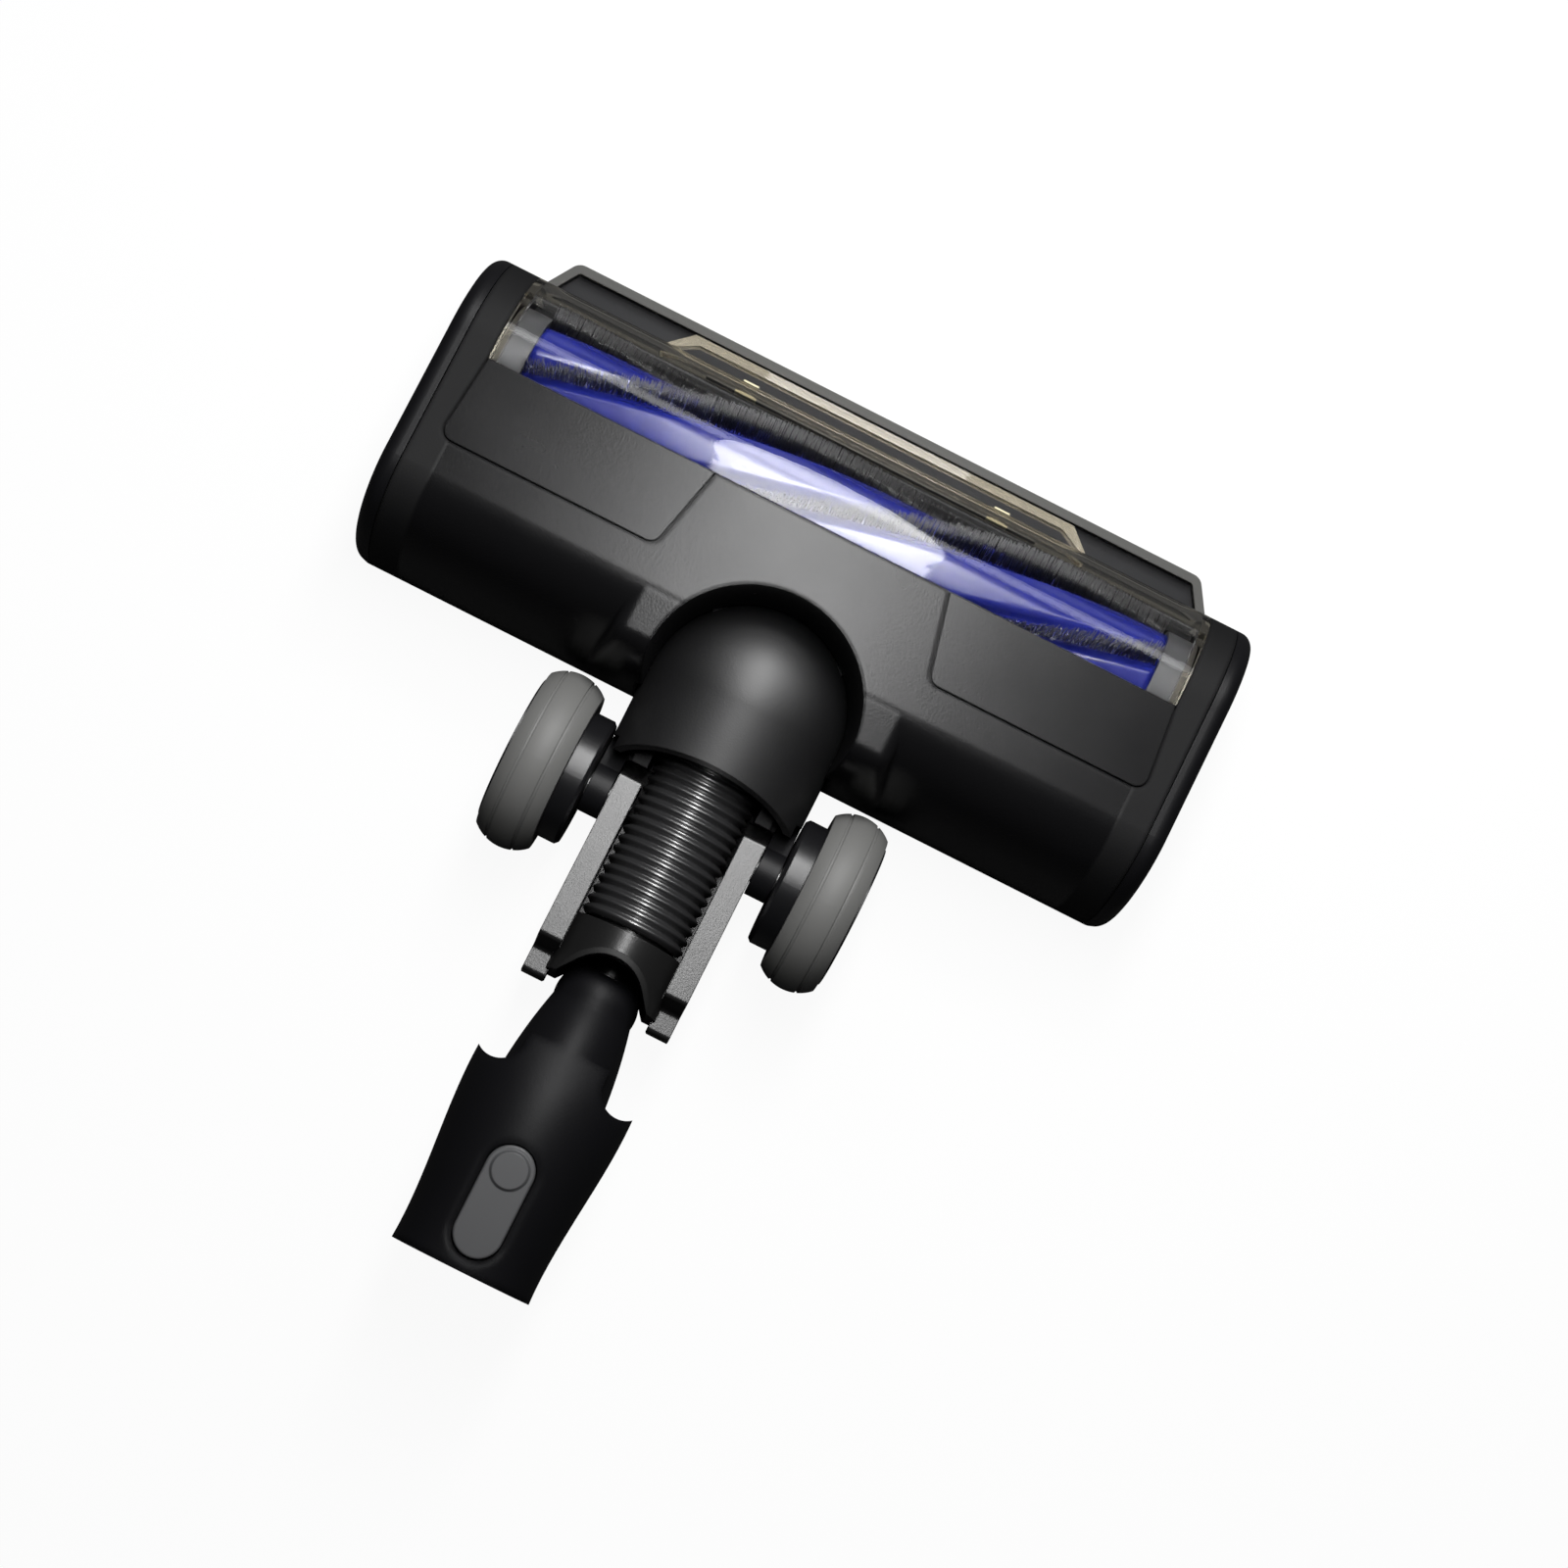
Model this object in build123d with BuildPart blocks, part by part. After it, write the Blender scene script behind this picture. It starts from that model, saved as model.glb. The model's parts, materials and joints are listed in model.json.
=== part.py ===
from build123d import *
import os
from math import atan2, cos, radians, sin, sqrt

os.makedirs("parts", exist_ok=True)

# Head: lengths in millimetres, heights from the floor, front-to-back places from the wheel axle
head_length = 250.0
head_height = 56.0
seam_z = 12.0
rear_y = 30.0
crest_y = 59.0
shell_wall = 2.5
end_cap_width = 6.0
end_cap_round = 4.0
end_cap_wall = 1.6
end_cap_pocket_edge = 4.5
sole_z = 3.0
sole_wall = 2.5
part_gap = 0.25
side_clearance = 0.4
cut_through = 1.0
running_fit = 0.05

# Brush window, clear cover, visor and bumper
window_margin = 8.5
window_setback = 3.5
cover_wall = 2.0
cover_rim_width = 2.3
cover_rim_depth = 3.0
visor_base_half = 72.0
visor_slant = 9.0
visor_reach = 7.0
visor_low_z = 13.5
visor_height = 7.0
visor_wall = 2.4
bumper_margin = 6.0
bumper_slant = 8.0
bumper_reach = 12.5
bumper_height = 6.0
bumper_rim = 2.7
bumper_recess = 4.0
bumper_corner = 4.0

# Saddle, arch and hood at the rear of the head
hood_half = 30.8
hood_y = 40.5
hood_drop = 4.0
hood_wall = 2.2
hood_low_y = 16.5
hood_lip_y = 12.5
hood_high_y = 21.0
arch_gap = 1.7
arch_lead = 2.0
skirt_rise = 7.0
skirt_wall = 2.0
saddle_flank = 20.5
saddle_draft = 12.0
saddle_crest_y = 45.0
saddle_front_y = 82.0
saddle_nose_drop = 6.0
saddle_tuck = 0.5
saddle_setback = 2.0
saddle_round = 4.0

# Top panels
panel_depth = 1.2
panel_groove = 0.45
panel_rear_y = 69.0
panel_margin = 6.0
panel_inner_front = 37.4
panel_inner_rear = 43.6
panel_corner = 4.0

# Brush roll and its drive
roller_y = 99.0
bristle_radius = 24.0
bristle_lift = 1.0
bristle_gap = 2.0
core_radius = 15.5
land_rise = 2.0
land_angle = 50.0
row_count = 5
row_width = 3.2
row_twist_per_mm = -0.842
row_start_angle = 88.2
sleeve_step = 1.3
sleeve_width = 9.0
sleeve_wall = 2.2
sleeve_gap = 0.5
shaft_radius = 4.0
bulkhead_wall = 2.5
bulkhead_margin = 4.0
bearing_radius = 11.0
bearing_width = 6.0
bearing_space = 2.0
chamber_gap = 2.0
chamber_wall = 2.0
chamber_top_angle = 116.0
chamber_low_angle = 222.0
mouth_margin = 6.0
mouth_rear = 20.0
mouth_front = 22.5
motor_y = 52.0
motor_z = 27.0
motor_radius = 14.0
motor_length = 55.0
motor_end_gap = 14.0
motor_round = 1.5
motor_shaft_radius = 1.6
motor_shaft_depth = 8.0
motor_bore_depth = 10.0
motor_pulley_radius = 5.0
driven_pulley_radius = 12.0
pulley_width = 4.0
belt_width = 3.0
belt_wall = 1.4
belt_slack = 0.15
saddle_block_width = 6.0

# Suction duct and hose
duct_half = 21.0
duct_low_margin = 2.6
duct_top_margin = 1.6
duct_high_z = 31.0
duct_wall = 1.8
duct_end_y = 34.0
duct_start_y = 76.0
spigot_radius = 12.4
spigot_wall = 1.8
spigot_length = 7.0
hose_fit = 0.2
hose_wall = 2.2
hose_rib_height = 1.4
hose_rib = 2.1
hose_pitch = 3.9
hose_end_gap = 1.5

# Wheels and hinge
wheel_radius = 28.0
axle_radius = 4.0
tyre_width = 17.0
tyre_crown = 3.4
tyre_wall = 2.6
tyre_groove = 0.8
tyre_groove_offset = 4.2
hub_boss = 6.9
hub_step = 2.0
hub_lip = 0.7
hub_chamfer = 1.0
hub_recess_radius = 11.0
hub_recess_depth = 4.0
axle_head_radius = 7.0
axle_head = 2.0
axle_inset = 0.3
cap_wall = 1.4
ear_radius = 8.0
ear_gap = 1.3
ear_wall = 5.0
ear_pad = 6.5
ear_step = 2.0
ear_drop = 2.0
ear_rear_y = 11.8
ear_front_y = 33.0
hinge_base = 3.5
hinge_rear_y = 12.0
tongue_rear_y = -4.0
tongue_gap = 1.1

# Neck, lengths along it from the wheel axle
neck_tilt = 8.0
arm_width = 7.2
arm_half_height = 9.0
arm_front = 6.7
arm_rear = 57.0
arm_corner = 1.5
arm_step = 46.0
arm_step_run = 3.0
arm_step_height = 1.0
channel_start = 4.0
channel_wall = 2.2
collar_rim = 1.4
collar_width = 5.5
block_depth = 15.5
block_top = 2.0
ball_radius = 12.6
ball_gap = 0.4
ball_cover = 3.0
passage_wall = 2.6
lug_half = 7.0
lug_margin = 3.0
lug_drop = 6.4
lug_height = 3.5
lug_boss_radius = 3.6
lug_boss_height = 2.0
pin_radius = 2.5
pin_reach = 1.9
swing_angle = 30.0
swing_gap = 0.6
seal_width = 1.8
seal_height = 1.2

# Connector tube, lengths from the swivel axis
tube_length = 85.0
shoulder_place = 21.5
throat_step = 0.8
throat_half = 15.8
throat_half_height = 19.8
throat_overlap = 5.0
throat_flare = 0.5
socket_radius = 17.0
socket_depth = 38.0
socket_side_wall = 4.8
socket_top_wall = 5.5
tube_bore = 13.5
waist_side = 1.8
waist_rise = 0.9
waist_step = 17.0
belly_side = 1.2
belly_rise = 0.1
belly_step = 12.0
shoulder_side = 0.8
shoulder_drop = 1.6
scoop_radius = 7.0
scoop_lead = 1.0
scoop_side = 3.8
button_setback = 21.2
button_length = 33.5
button_width = 14.4
button_rise = 1.1
button_wall = 3.2
button_floor = 1.3
button_gap = 0.4
button_round = 0.6
thumb_radius = 5.8
thumb_rise = 0.7
thumb_taper = 45.0
spring_wall = 0.4
spring_width = 6.0
spring_length = 18.0
spring_foot = 1.0
terminal_half = 6.0
terminal_wall = 1.2
terminal_height = 2.6
terminal_depth = 18.0
terminal_recess = 3.0
contact_radius = 0.7
contact_recess = 0.5

# Boards, strips and fasteners
board_length = 54.0
board_end_gap = 15.0
board_rear_y = 41.0
board_depth = 25.0
board_z = 20.0
board_wall = 1.6
chip_side = 12.0
coil_radius = 5.0
chip_height = 4.0
post_radius = 2.5
lamp_margin = 8.0
lamp_inset = 13.0
lamp_wall = 1.0
lamp_width = 5.0
lamp_height = 2.0
lamp_depth = 1.2
strip_depth = 6.0
strip_height = 2.4
strip_gap = 1.5
strip_end = 3.0
pad_radius = 4.0
pad_margin = 13.0
pad_front_margin = 39.0
pad_rear_y = 66.0
screw_radius = 3.0
screw_head = 1.4
screw_inner_x = 48.0
screw_rear_y = 38.0

# Head and brush roll: places that follow from the dimensions above
axle_z = wheel_radius
shell_half = head_length / 2 - end_cap_width
sole_top = sole_z + sole_wall
roller_z = bristle_radius + bristle_lift
cover_radius = bristle_radius + bristle_gap + cover_wall
nose_y = roller_y + cover_radius
window_half = shell_half - window_margin
window_y = roller_y - window_setback
cover_half = window_half - part_gap
top_slope = atan2(head_height - roller_z - cover_radius, roller_y - crest_y)
visor_front_half = visor_base_half - visor_slant
bumper_base_half = shell_half - bumper_margin
bumper_front_half = bumper_base_half - bumper_slant
bumper_front_y = nose_y - part_gap + bumper_reach
panel_outer_half = shell_half - panel_margin
bulkhead_half = shell_half - bearing_width - bearing_space
sleeve_end = bulkhead_half - sleeve_gap
core_half = sleeve_end - sleeve_width
land_radius = core_radius + land_rise
sleeve_radius = land_radius + sleeve_step
row_turn = row_twist_per_mm * 2 * core_half
chamber_radius = bristle_radius + chamber_gap
chamber_outer = chamber_radius + chamber_wall
mouth_half = bulkhead_half - mouth_margin
mouth_rear_y = roller_y - mouth_rear
mouth_front_y = roller_y + mouth_front
motor_inner_x = shell_half - motor_end_gap - motor_length
pulley_inner_x = shell_half - part_gap
board_inner_x = shell_half - board_end_gap - board_length
lamp_half = visor_front_half - lamp_margin
lamp_x = lamp_half - lamp_inset
pad_x = shell_half - pad_margin
pad_front_x = shell_half - pad_front_margin

# Hood, duct, hose and wheels: places that follow
hood_top_z = head_height - hood_drop
hood_spring_z = axle_z
hood_crown = hood_top_z - hood_spring_z
hood_lip_z = axle_z + ear_radius + side_clearance
arch_half = hood_half + arch_gap
arch_y = hood_y + arch_lead
skirt_z = hood_spring_z + skirt_rise
skirt_half = hood_half * sqrt(1 - (skirt_rise / hood_crown) ** 2) + side_clearance
saddle_half = arch_half + saddle_flank
duct_low_z = axle_z - spigot_radius - duct_low_margin
duct_rear_z = axle_z + spigot_radius + duct_top_margin
spigot_bore = spigot_radius - spigot_wall
hose_bore = spigot_radius + hose_fit
hose_root_radius = hose_bore + hose_wall
hose_radius = hose_root_radius + hose_rib_height
arm_inner_x = hose_radius + side_clearance
arm_outer_x = arm_inner_x + arm_width
ear_inner_x = hose_radius + ear_gap
ear_outer_x = arm_outer_x + side_clearance
hub_inner_x = ear_outer_x + ear_pad + side_clearance
tyre_inner_x = hub_inner_x + hub_boss
tyre_outer_x = tyre_inner_x + tyre_width
tyre_shoulder_radius = wheel_radius - tyre_crown
rim_radius = tyre_shoulder_radius - tyre_wall
hub_radius = rim_radius - hub_step
tongue_half = hub_inner_x - tongue_gap

# Neck and connector tube: places that follow
tilt = radians(neck_tilt)
collar_radius = hose_radius + collar_rim
collar_start = duct_end_y + hose_end_gap
block_start = collar_start + collar_width
swivel_place = block_start + block_depth
neck_length = swivel_place + tube_length
passage_radius = spigot_radius - passage_wall
block_low = -ball_radius - lug_drop
lug_top = block_low + lug_height
lug_boss_top = lug_top + lug_boss_height
pin_top = pin_reach - ball_radius
mouth_half_width = socket_radius + socket_side_wall
mouth_half_height = socket_radius + socket_top_wall
waist_half = mouth_half_width + waist_side
waist_half_height = mouth_half_height + waist_rise
belly_half = waist_half + belly_side
belly_half_height = mouth_half_height + belly_rise
shoulder_half = belly_half - shoulder_side
shoulder_half_height = throat_half_height - shoulder_drop
belly_place = shoulder_place + belly_step
waist_place = belly_place + waist_step
scoop_place = shoulder_place - scoop_lead
scoop_x = throat_half + scoop_side
button_place = tube_length - button_setback
button_top = mouth_half_height + button_rise
button_pocket_floor = socket_radius + button_floor
terminal_top = -socket_radius - terminal_wall
rear_reach = neck_length * cos(tilt) + mouth_half_height * sin(tilt)
axle_y = (rear_reach - bumper_front_y) / 2

side = Plane(origin=(0, axle_y, 0), x_dir=(0, 1, 0), z_dir=(1, 0, 0))
plan = Plane(origin=(0, axle_y, 0), x_dir=(1, 0, 0), z_dir=(0, 0, 1))
axle_section = Plane(origin=(0, axle_y, axle_z), x_dir=(1, 0, 0), z_dir=(0, -1, 0))
roller_section = Plane(origin=(0, axle_y + roller_y, roller_z), x_dir=(1, 0, 0), z_dir=(0, -1, 0))
hood_section = Plane(origin=(0, axle_y + hood_y, 0), x_dir=(1, 0, 0), z_dir=(0, -1, 0))
top_face = Plane(
    origin=(0, axle_y + crest_y, head_height),
    x_dir=(1, 0, 0),
    z_dir=(0, sin(top_slope), cos(top_slope)),
)
neck = Plane(origin=(0, axle_y, axle_z), x_dir=(1, 0, 0), z_dir=(0, sin(tilt), cos(tilt)))
neck_side = Plane(origin=neck.origin, x_dir=neck.y_dir, z_dir=(1, 0, 0))
neck_section = Plane(origin=neck.origin, x_dir=-neck.y_dir, z_dir=(-1, 0, 0))
neck_axis = Axis(neck.origin, -neck.y_dir)
swivel = Plane(origin=neck.from_local_coords((0, -swivel_place, 0)), x_dir=(1, 0, 0), z_dir=neck.z_dir)
axle_axis = Axis((0, axle_y, axle_z), (1, 0, 0))
roller_axis = Axis((0, axle_y + roller_y, roller_z), (1, 0, 0))
sides = (("left", -1), ("right", 1))


def keep(builder, name):
    builder.part.label = name
    export_step(builder.part, f"parts/{name}.step")


def neck_cross(place):
    """Plane across the neck at a length along it, with its normal towards the wand."""
    return Plane(origin=neck.from_local_coords((0, -place, 0)), x_dir=(1, 0, 0), z_dir=-neck.y_dir)


def head_section(inset, place=0.0, low=seam_z, rear_limit=0.0):
    """Side section of the head, inside the outer skin by the inset, at a place across the head."""
    nose = cover_radius - inset
    with BuildSketch(side.offset(place)) as section:
        with BuildLine():
            EllipticalCenterArc(
                (crest_y, seam_z), crest_y - rear_y - inset, head_height - seam_z - inset, 90, arc_size=90
            )
            Line((crest_y, head_height - inset), (roller_y, roller_z + nose))
            CenterArc((roller_y, roller_z), nose, 0, 90)
            Polyline(
                (roller_y + nose, roller_z),
                (roller_y + nose, low),
                (rear_y + inset, low),
                *(((rear_y + inset, seam_z),) if low < seam_z else ()),
            )
        make_face()
        with Locations((rear_limit, 0)):
            Rectangle(head_length, 4 * head_height, align=(Align.MAX, Align.CENTER), mode=Mode.SUBTRACT)
    return section.sketch


def saddle_block(inset):
    """Raised saddle that carries the arch: a side profile cut to tapering flanks."""
    foot_y = rear_y + saddle_tuck + inset
    crest_z = head_height - inset
    with BuildPart() as block:
        with BuildSketch(side):
            with BuildLine():
                EllipticalCenterArc(
                    (saddle_crest_y, seam_z), saddle_crest_y - foot_y, crest_z - seam_z, 90, arc_size=90
                )
                Polyline(
                    (saddle_crest_y, crest_z),
                    (crest_y - saddle_setback, crest_z),
                    (saddle_front_y, crest_z - saddle_nose_drop),
                    (saddle_front_y, seam_z),
                    (foot_y, seam_z),
                )
            make_face()
        extrude(amount=saddle_half, both=True)
        with BuildSketch(plan.offset(seam_z)):
            with Locations((0, (rear_y + saddle_front_y) / 2)):
                Rectangle(2 * (saddle_half - inset), 2 * (saddle_front_y - rear_y))
        extrude(amount=head_height - seam_z + 1, taper=saddle_draft, mode=Mode.INTERSECT)
        flank_edges = block.edges().filter_by(
            lambda edge: edge.bounding_box().size.Y > 5
            and abs(edge.center().X) > saddle_half / 2
            and edge.center().Z > seam_z + 5
        )
        fillet(flank_edges, saddle_round - inset / 2)
    return block.part


def arch_plan(half, centre_y, height):
    """Plan of an arch, round at the front and open to the rear, at a height."""
    with BuildSketch(plan.offset(height)) as outline:
        with BuildLine():
            front = CenterArc((0, centre_y), half, 0, 180)
            Polyline(front @ 1, (-half, rear_y - 1), (half, rear_y - 1), front @ 0)
        make_face()
    return outline.sketch


def arch_well(extra):
    """Well of the arch, wider than its face by the extra: it narrows from the saddle down to the hood."""
    rise = (head_height + cut_through - skirt_z) / (head_height - skirt_z)
    top_half = skirt_half + rise * (arch_half - skirt_half)
    top = arch_plan(top_half + extra, hood_y + rise * arch_lead, head_height + cut_through)
    bottom = arch_plan(skirt_half + extra, hood_y, skirt_z)
    return loft((bottom, top), ruled=True)


def duct_box(inset):
    """Duct inside its skin by the inset, rising to the rear."""
    with BuildPart() as box:
        with BuildSketch(side):
            with BuildLine():
                Polyline(
                    (duct_end_y + inset, duct_low_z + inset),
                    (duct_start_y, duct_low_z + inset),
                    (duct_start_y, duct_high_z - inset),
                    (duct_end_y + inset, duct_rear_z - inset),
                    close=True,
                )
            make_face()
        extrude(amount=duct_half - inset, both=True)
    return box.part


def housing_cavity():
    """Hollow of the upper housing, without the wall round the well of the arch."""
    with BuildPart() as well_wall:
        add(arch_well(skirt_wall))
        with BuildSketch(side):
            with Locations((roller_y, roller_z)):
                Circle(chamber_outer + part_gap)
        extrude(amount=saddle_half, both=True, mode=Mode.SUBTRACT)
        add(duct_box(-part_gap), mode=Mode.SUBTRACT)
    hollow = head_section(shell_wall, low=seam_z - cut_through)
    with BuildPart() as cavity:
        extrude(hollow, amount=shell_half + cut_through, both=True)
        add(saddle_block(shell_wall))
        add(well_wall.part, mode=Mode.SUBTRACT)
    return cavity.part


def panel_outline(sign, gap):
    """Plan of one top panel on the sloping top face, smaller by the gap on its three inner sides."""
    slope_scale = 1 / cos(top_slope)
    front = (window_y - crest_y) * slope_scale
    rear = (panel_rear_y + gap - crest_y) * slope_scale
    with BuildSketch(top_face) as outline:
        with BuildLine():
            Polyline(
                (sign * (panel_inner_front + gap), front),
                (sign * (window_half - gap), front),
                (sign * (panel_outer_half - gap), rear),
                (sign * (panel_inner_rear + gap), rear),
                close=True,
            )
        make_face()
        fillet(outline.vertices().sort_by(Axis.Y)[:2], panel_corner - gap)
    return outline.sketch


# Upper housing: a thin shell with its saddle, window, arch and two shallow panel seats
with BuildPart() as upper_housing:
    extrude(head_section(0), amount=shell_half, both=True)
    add(saddle_block(0))
    add(housing_cavity(), mode=Mode.SUBTRACT)
    with BuildSketch(plan.offset(seam_z - cut_through)):
        with Locations((0, window_y)):
            Rectangle(2 * window_half, head_height, align=(Align.CENTER, Align.MIN))
    extrude(amount=head_height, mode=Mode.SUBTRACT)
    add(arch_well(0), mode=Mode.SUBTRACT)
    hood_way = arch_plan(hood_half + side_clearance, hood_y, seam_z - cut_through)
    extrude(hood_way, amount=skirt_z - seam_z + cut_through, mode=Mode.SUBTRACT)
    for _, sign in sides:
        extrude(panel_outline(sign, 0), amount=-panel_depth, mode=Mode.SUBTRACT)
keep(upper_housing, "upper_housing")

# Top panels: thin plates let into their seats, leaving a fine groove
for name, sign in sides:
    with BuildPart() as top_panel:
        extrude(panel_outline(sign, panel_groove), amount=-panel_depth)
    keep(top_panel, f"{name}_top_panel")

# End caps: dished side covers with a rounded outer edge
for name, sign in sides:
    cap_place = sign * (shell_half + part_gap)
    with BuildPart() as end_cap:
        extrude(head_section(0, cap_place, sole_z), amount=sign * (end_cap_width - part_gap))
        outer_face = end_cap.faces().sort_by(Axis.X)[-1 if sign > 0 else 0]
        fillet(outer_face.edges(), end_cap_round)
        pocket = head_section(end_cap_pocket_edge, cap_place, sole_z + end_cap_pocket_edge)
        extrude(pocket, amount=sign * (end_cap_width - part_gap - end_cap_wall), mode=Mode.SUBTRACT)
    keep(end_cap, f"{name}_end_cap")

# Clear front cover: a quarter-round window with thick end rims and a headlight visor
visor_front_y = nose_y + visor_reach


def visor_outline(inset, base_y):
    """Plan of the visor, a trapezium that narrows to the front."""
    with BuildSketch(plan.offset(visor_low_z)) as outline:
        with BuildLine():
            Polyline(
                (-visor_base_half + inset, base_y),
                (visor_base_half - inset, base_y),
                (visor_front_half - inset, visor_front_y - inset),
                (-visor_front_half + inset, visor_front_y - inset),
                close=True,
            )
        make_face()
    return outline.sketch


with BuildPart() as front_cover:
    extrude(head_section(0), amount=cover_half, both=True)
    extrude(head_section(cover_wall), amount=cover_half - cover_rim_width, both=True, mode=Mode.SUBTRACT)
    extrude(head_section(cover_wall + cover_rim_depth), amount=cover_half, both=True, mode=Mode.SUBTRACT)
    with BuildSketch(plan.offset(seam_z)):
        with Locations((0, window_y + part_gap)):
            Rectangle(head_length, head_length, align=(Align.CENTER, Align.MAX))
    extrude(amount=head_height, mode=Mode.SUBTRACT)
    extrude(visor_outline(0, nose_y - cover_wall / 2), amount=visor_height)
    extrude(visor_outline(visor_wall, nose_y), amount=visor_height, mode=Mode.SUBTRACT)
keep(front_cover, "front_cover")

# Headlight board on the back wall of the visor, with two lamp chips
with BuildPart() as headlight_board:
    with BuildSketch(plan.offset(visor_low_z)):
        with Locations((0, nose_y)):
            Rectangle(2 * lamp_half, lamp_wall, align=(Align.CENTER, Align.MIN))
    extrude(amount=visor_height - visor_wall)
    with BuildSketch(plan.offset(visor_low_z + (visor_height - visor_wall - lamp_height) / 2)):
        with Locations((-lamp_x, nose_y + lamp_wall), (lamp_x, nose_y + lamp_wall)):
            Rectangle(lamp_width, lamp_depth, align=(Align.CENTER, Align.MIN))
    extrude(amount=lamp_height)
keep(headlight_board, "headlight_board")

# Front bumper: a low tray with a raised rim, butted on the front bar of the sole
with BuildPart() as front_bumper:
    with BuildSketch(plan.offset(sole_z)) as bumper_plan:
        with BuildLine():
            Polyline(
                (-bumper_base_half, nose_y - part_gap),
                (bumper_base_half, nose_y - part_gap),
                (bumper_front_half, bumper_front_y),
                (-bumper_front_half, bumper_front_y),
                close=True,
            )
        make_face()
        fillet(bumper_plan.vertices().sort_by(Axis.Y)[-2:], bumper_corner)
    extrude(amount=bumper_height)
    with BuildSketch(plan.offset(sole_z + bumper_height)):
        offset(bumper_plan.sketch_local, amount=-bumper_rim)
    extrude(amount=-bumper_recess, mode=Mode.SUBTRACT)
keep(front_bumper, "front_bumper")

# Lower housing: sole plate, low rim, brush chamber, bearing bulkheads and motor saddles
bulkhead_rear_y = roller_y - chamber_outer - bulkhead_margin
with BuildPart() as lower_housing:
    with BuildSketch(plan.offset(sole_z)) as sole:
        with Locations((0, rear_y)):
            Rectangle(2 * shell_half, nose_y - rear_y - part_gap, align=(Align.CENTER, Align.MIN))
        with Locations((0, tongue_rear_y)):
            Rectangle(2 * tongue_half, rear_y - tongue_rear_y, align=(Align.CENTER, Align.MIN))
    extrude(amount=sole_wall)
    with BuildSketch(plan.offset(sole_top)):
        with Locations((0, rear_y)):
            Rectangle(2 * shell_half, nose_y - rear_y - part_gap, align=(Align.CENTER, Align.MIN))
        with Locations((0, rear_y + shell_wall)):
            Rectangle(
                2 * (shell_half - shell_wall),
                nose_y - rear_y - part_gap - 2 * shell_wall,
                align=(Align.CENTER, Align.MIN),
                mode=Mode.SUBTRACT,
            )
        with Locations((0, rear_y)):
            Rectangle(2 * arch_half, 3 * shell_wall, mode=Mode.SUBTRACT)
    extrude(amount=seam_z - sole_top)
    with BuildSketch(side):
        with BuildLine():
            arc_span = chamber_low_angle - chamber_top_angle
            inner = CenterArc((roller_y, roller_z), chamber_radius, chamber_top_angle, arc_span)
            outer = CenterArc((roller_y, roller_z), chamber_outer, chamber_top_angle, arc_span)
            Line(inner @ 0, outer @ 0)
            Line(inner @ 1, outer @ 1)
        make_face()
    extrude(amount=bulkhead_half, both=True)
    for _, sign in sides:
        bulkhead = side.offset(sign * bulkhead_half)
        bulkhead_face = head_section(
            shell_wall + part_gap, sign * bulkhead_half, sole_top - part_gap, bulkhead_rear_y
        )
        extrude(bulkhead_face, amount=sign * bulkhead_wall)
        with BuildSketch(bulkhead):
            with Locations((roller_y, roller_z)):
                Circle(bearing_radius + shell_wall)
        extrude(amount=sign * bearing_width)
        with BuildSketch(bulkhead):
            with Locations((roller_y, roller_z)):
                Circle(bearing_radius + running_fit)
        extrude(amount=sign * bearing_width, mode=Mode.SUBTRACT)
    with BuildSketch(plan.offset(sole_z)):
        with Locations((0, mouth_rear_y)):
            Rectangle(2 * mouth_half, mouth_front_y - mouth_rear_y, align=(Align.CENTER, Align.MIN))
    extrude(amount=sole_wall, mode=Mode.SUBTRACT)
    with BuildSketch(plan.offset(duct_low_z)):
        with Locations((0, bulkhead_rear_y)):
            Rectangle(2 * duct_half, chamber_radius, align=(Align.CENTER, Align.MIN))
    extrude(amount=duct_high_z - duct_low_z, mode=Mode.SUBTRACT)
    with BuildSketch(plan.offset(sole_top)):
        for place in (0.15, 0.85):
            with Locations((-motor_inner_x - place * motor_length, motor_y)):
                Rectangle(saddle_block_width, 2 * motor_radius - 2)
    extrude(amount=motor_z - 0.55 * motor_radius - sole_top)
    with BuildSketch(side):
        with Locations((motor_y, motor_z)):
            Circle(motor_radius + running_fit)
    extrude(amount=-shell_half, mode=Mode.SUBTRACT)
    with BuildSketch(plan.offset(sole_top)):
        with Locations((board_inner_x + board_length / 2, board_rear_y + board_depth / 2)):
            with GridLocations(board_length - 3 * post_radius, board_depth - 3 * post_radius, 2, 2):
                Circle(post_radius)
    extrude(amount=board_z - sole_top)
keep(lower_housing, "lower_housing")

# Control board on its four posts
with BuildPart() as control_board:
    with BuildSketch(plan.offset(board_z)):
        with Locations((board_inner_x, board_rear_y)):
            Rectangle(board_length, board_depth, align=(Align.MIN, Align.MIN))
    extrude(amount=board_wall)
    with BuildSketch(plan.offset(board_z + board_wall)):
        with Locations((board_inner_x + 0.3 * board_length, board_rear_y + board_depth / 2)):
            Rectangle(chip_side, chip_side)
        with Locations((board_inner_x + 0.75 * board_length, board_rear_y + board_depth / 2)):
            Circle(coil_radius)
    extrude(amount=chip_height)
keep(control_board, "control_board")

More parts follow.
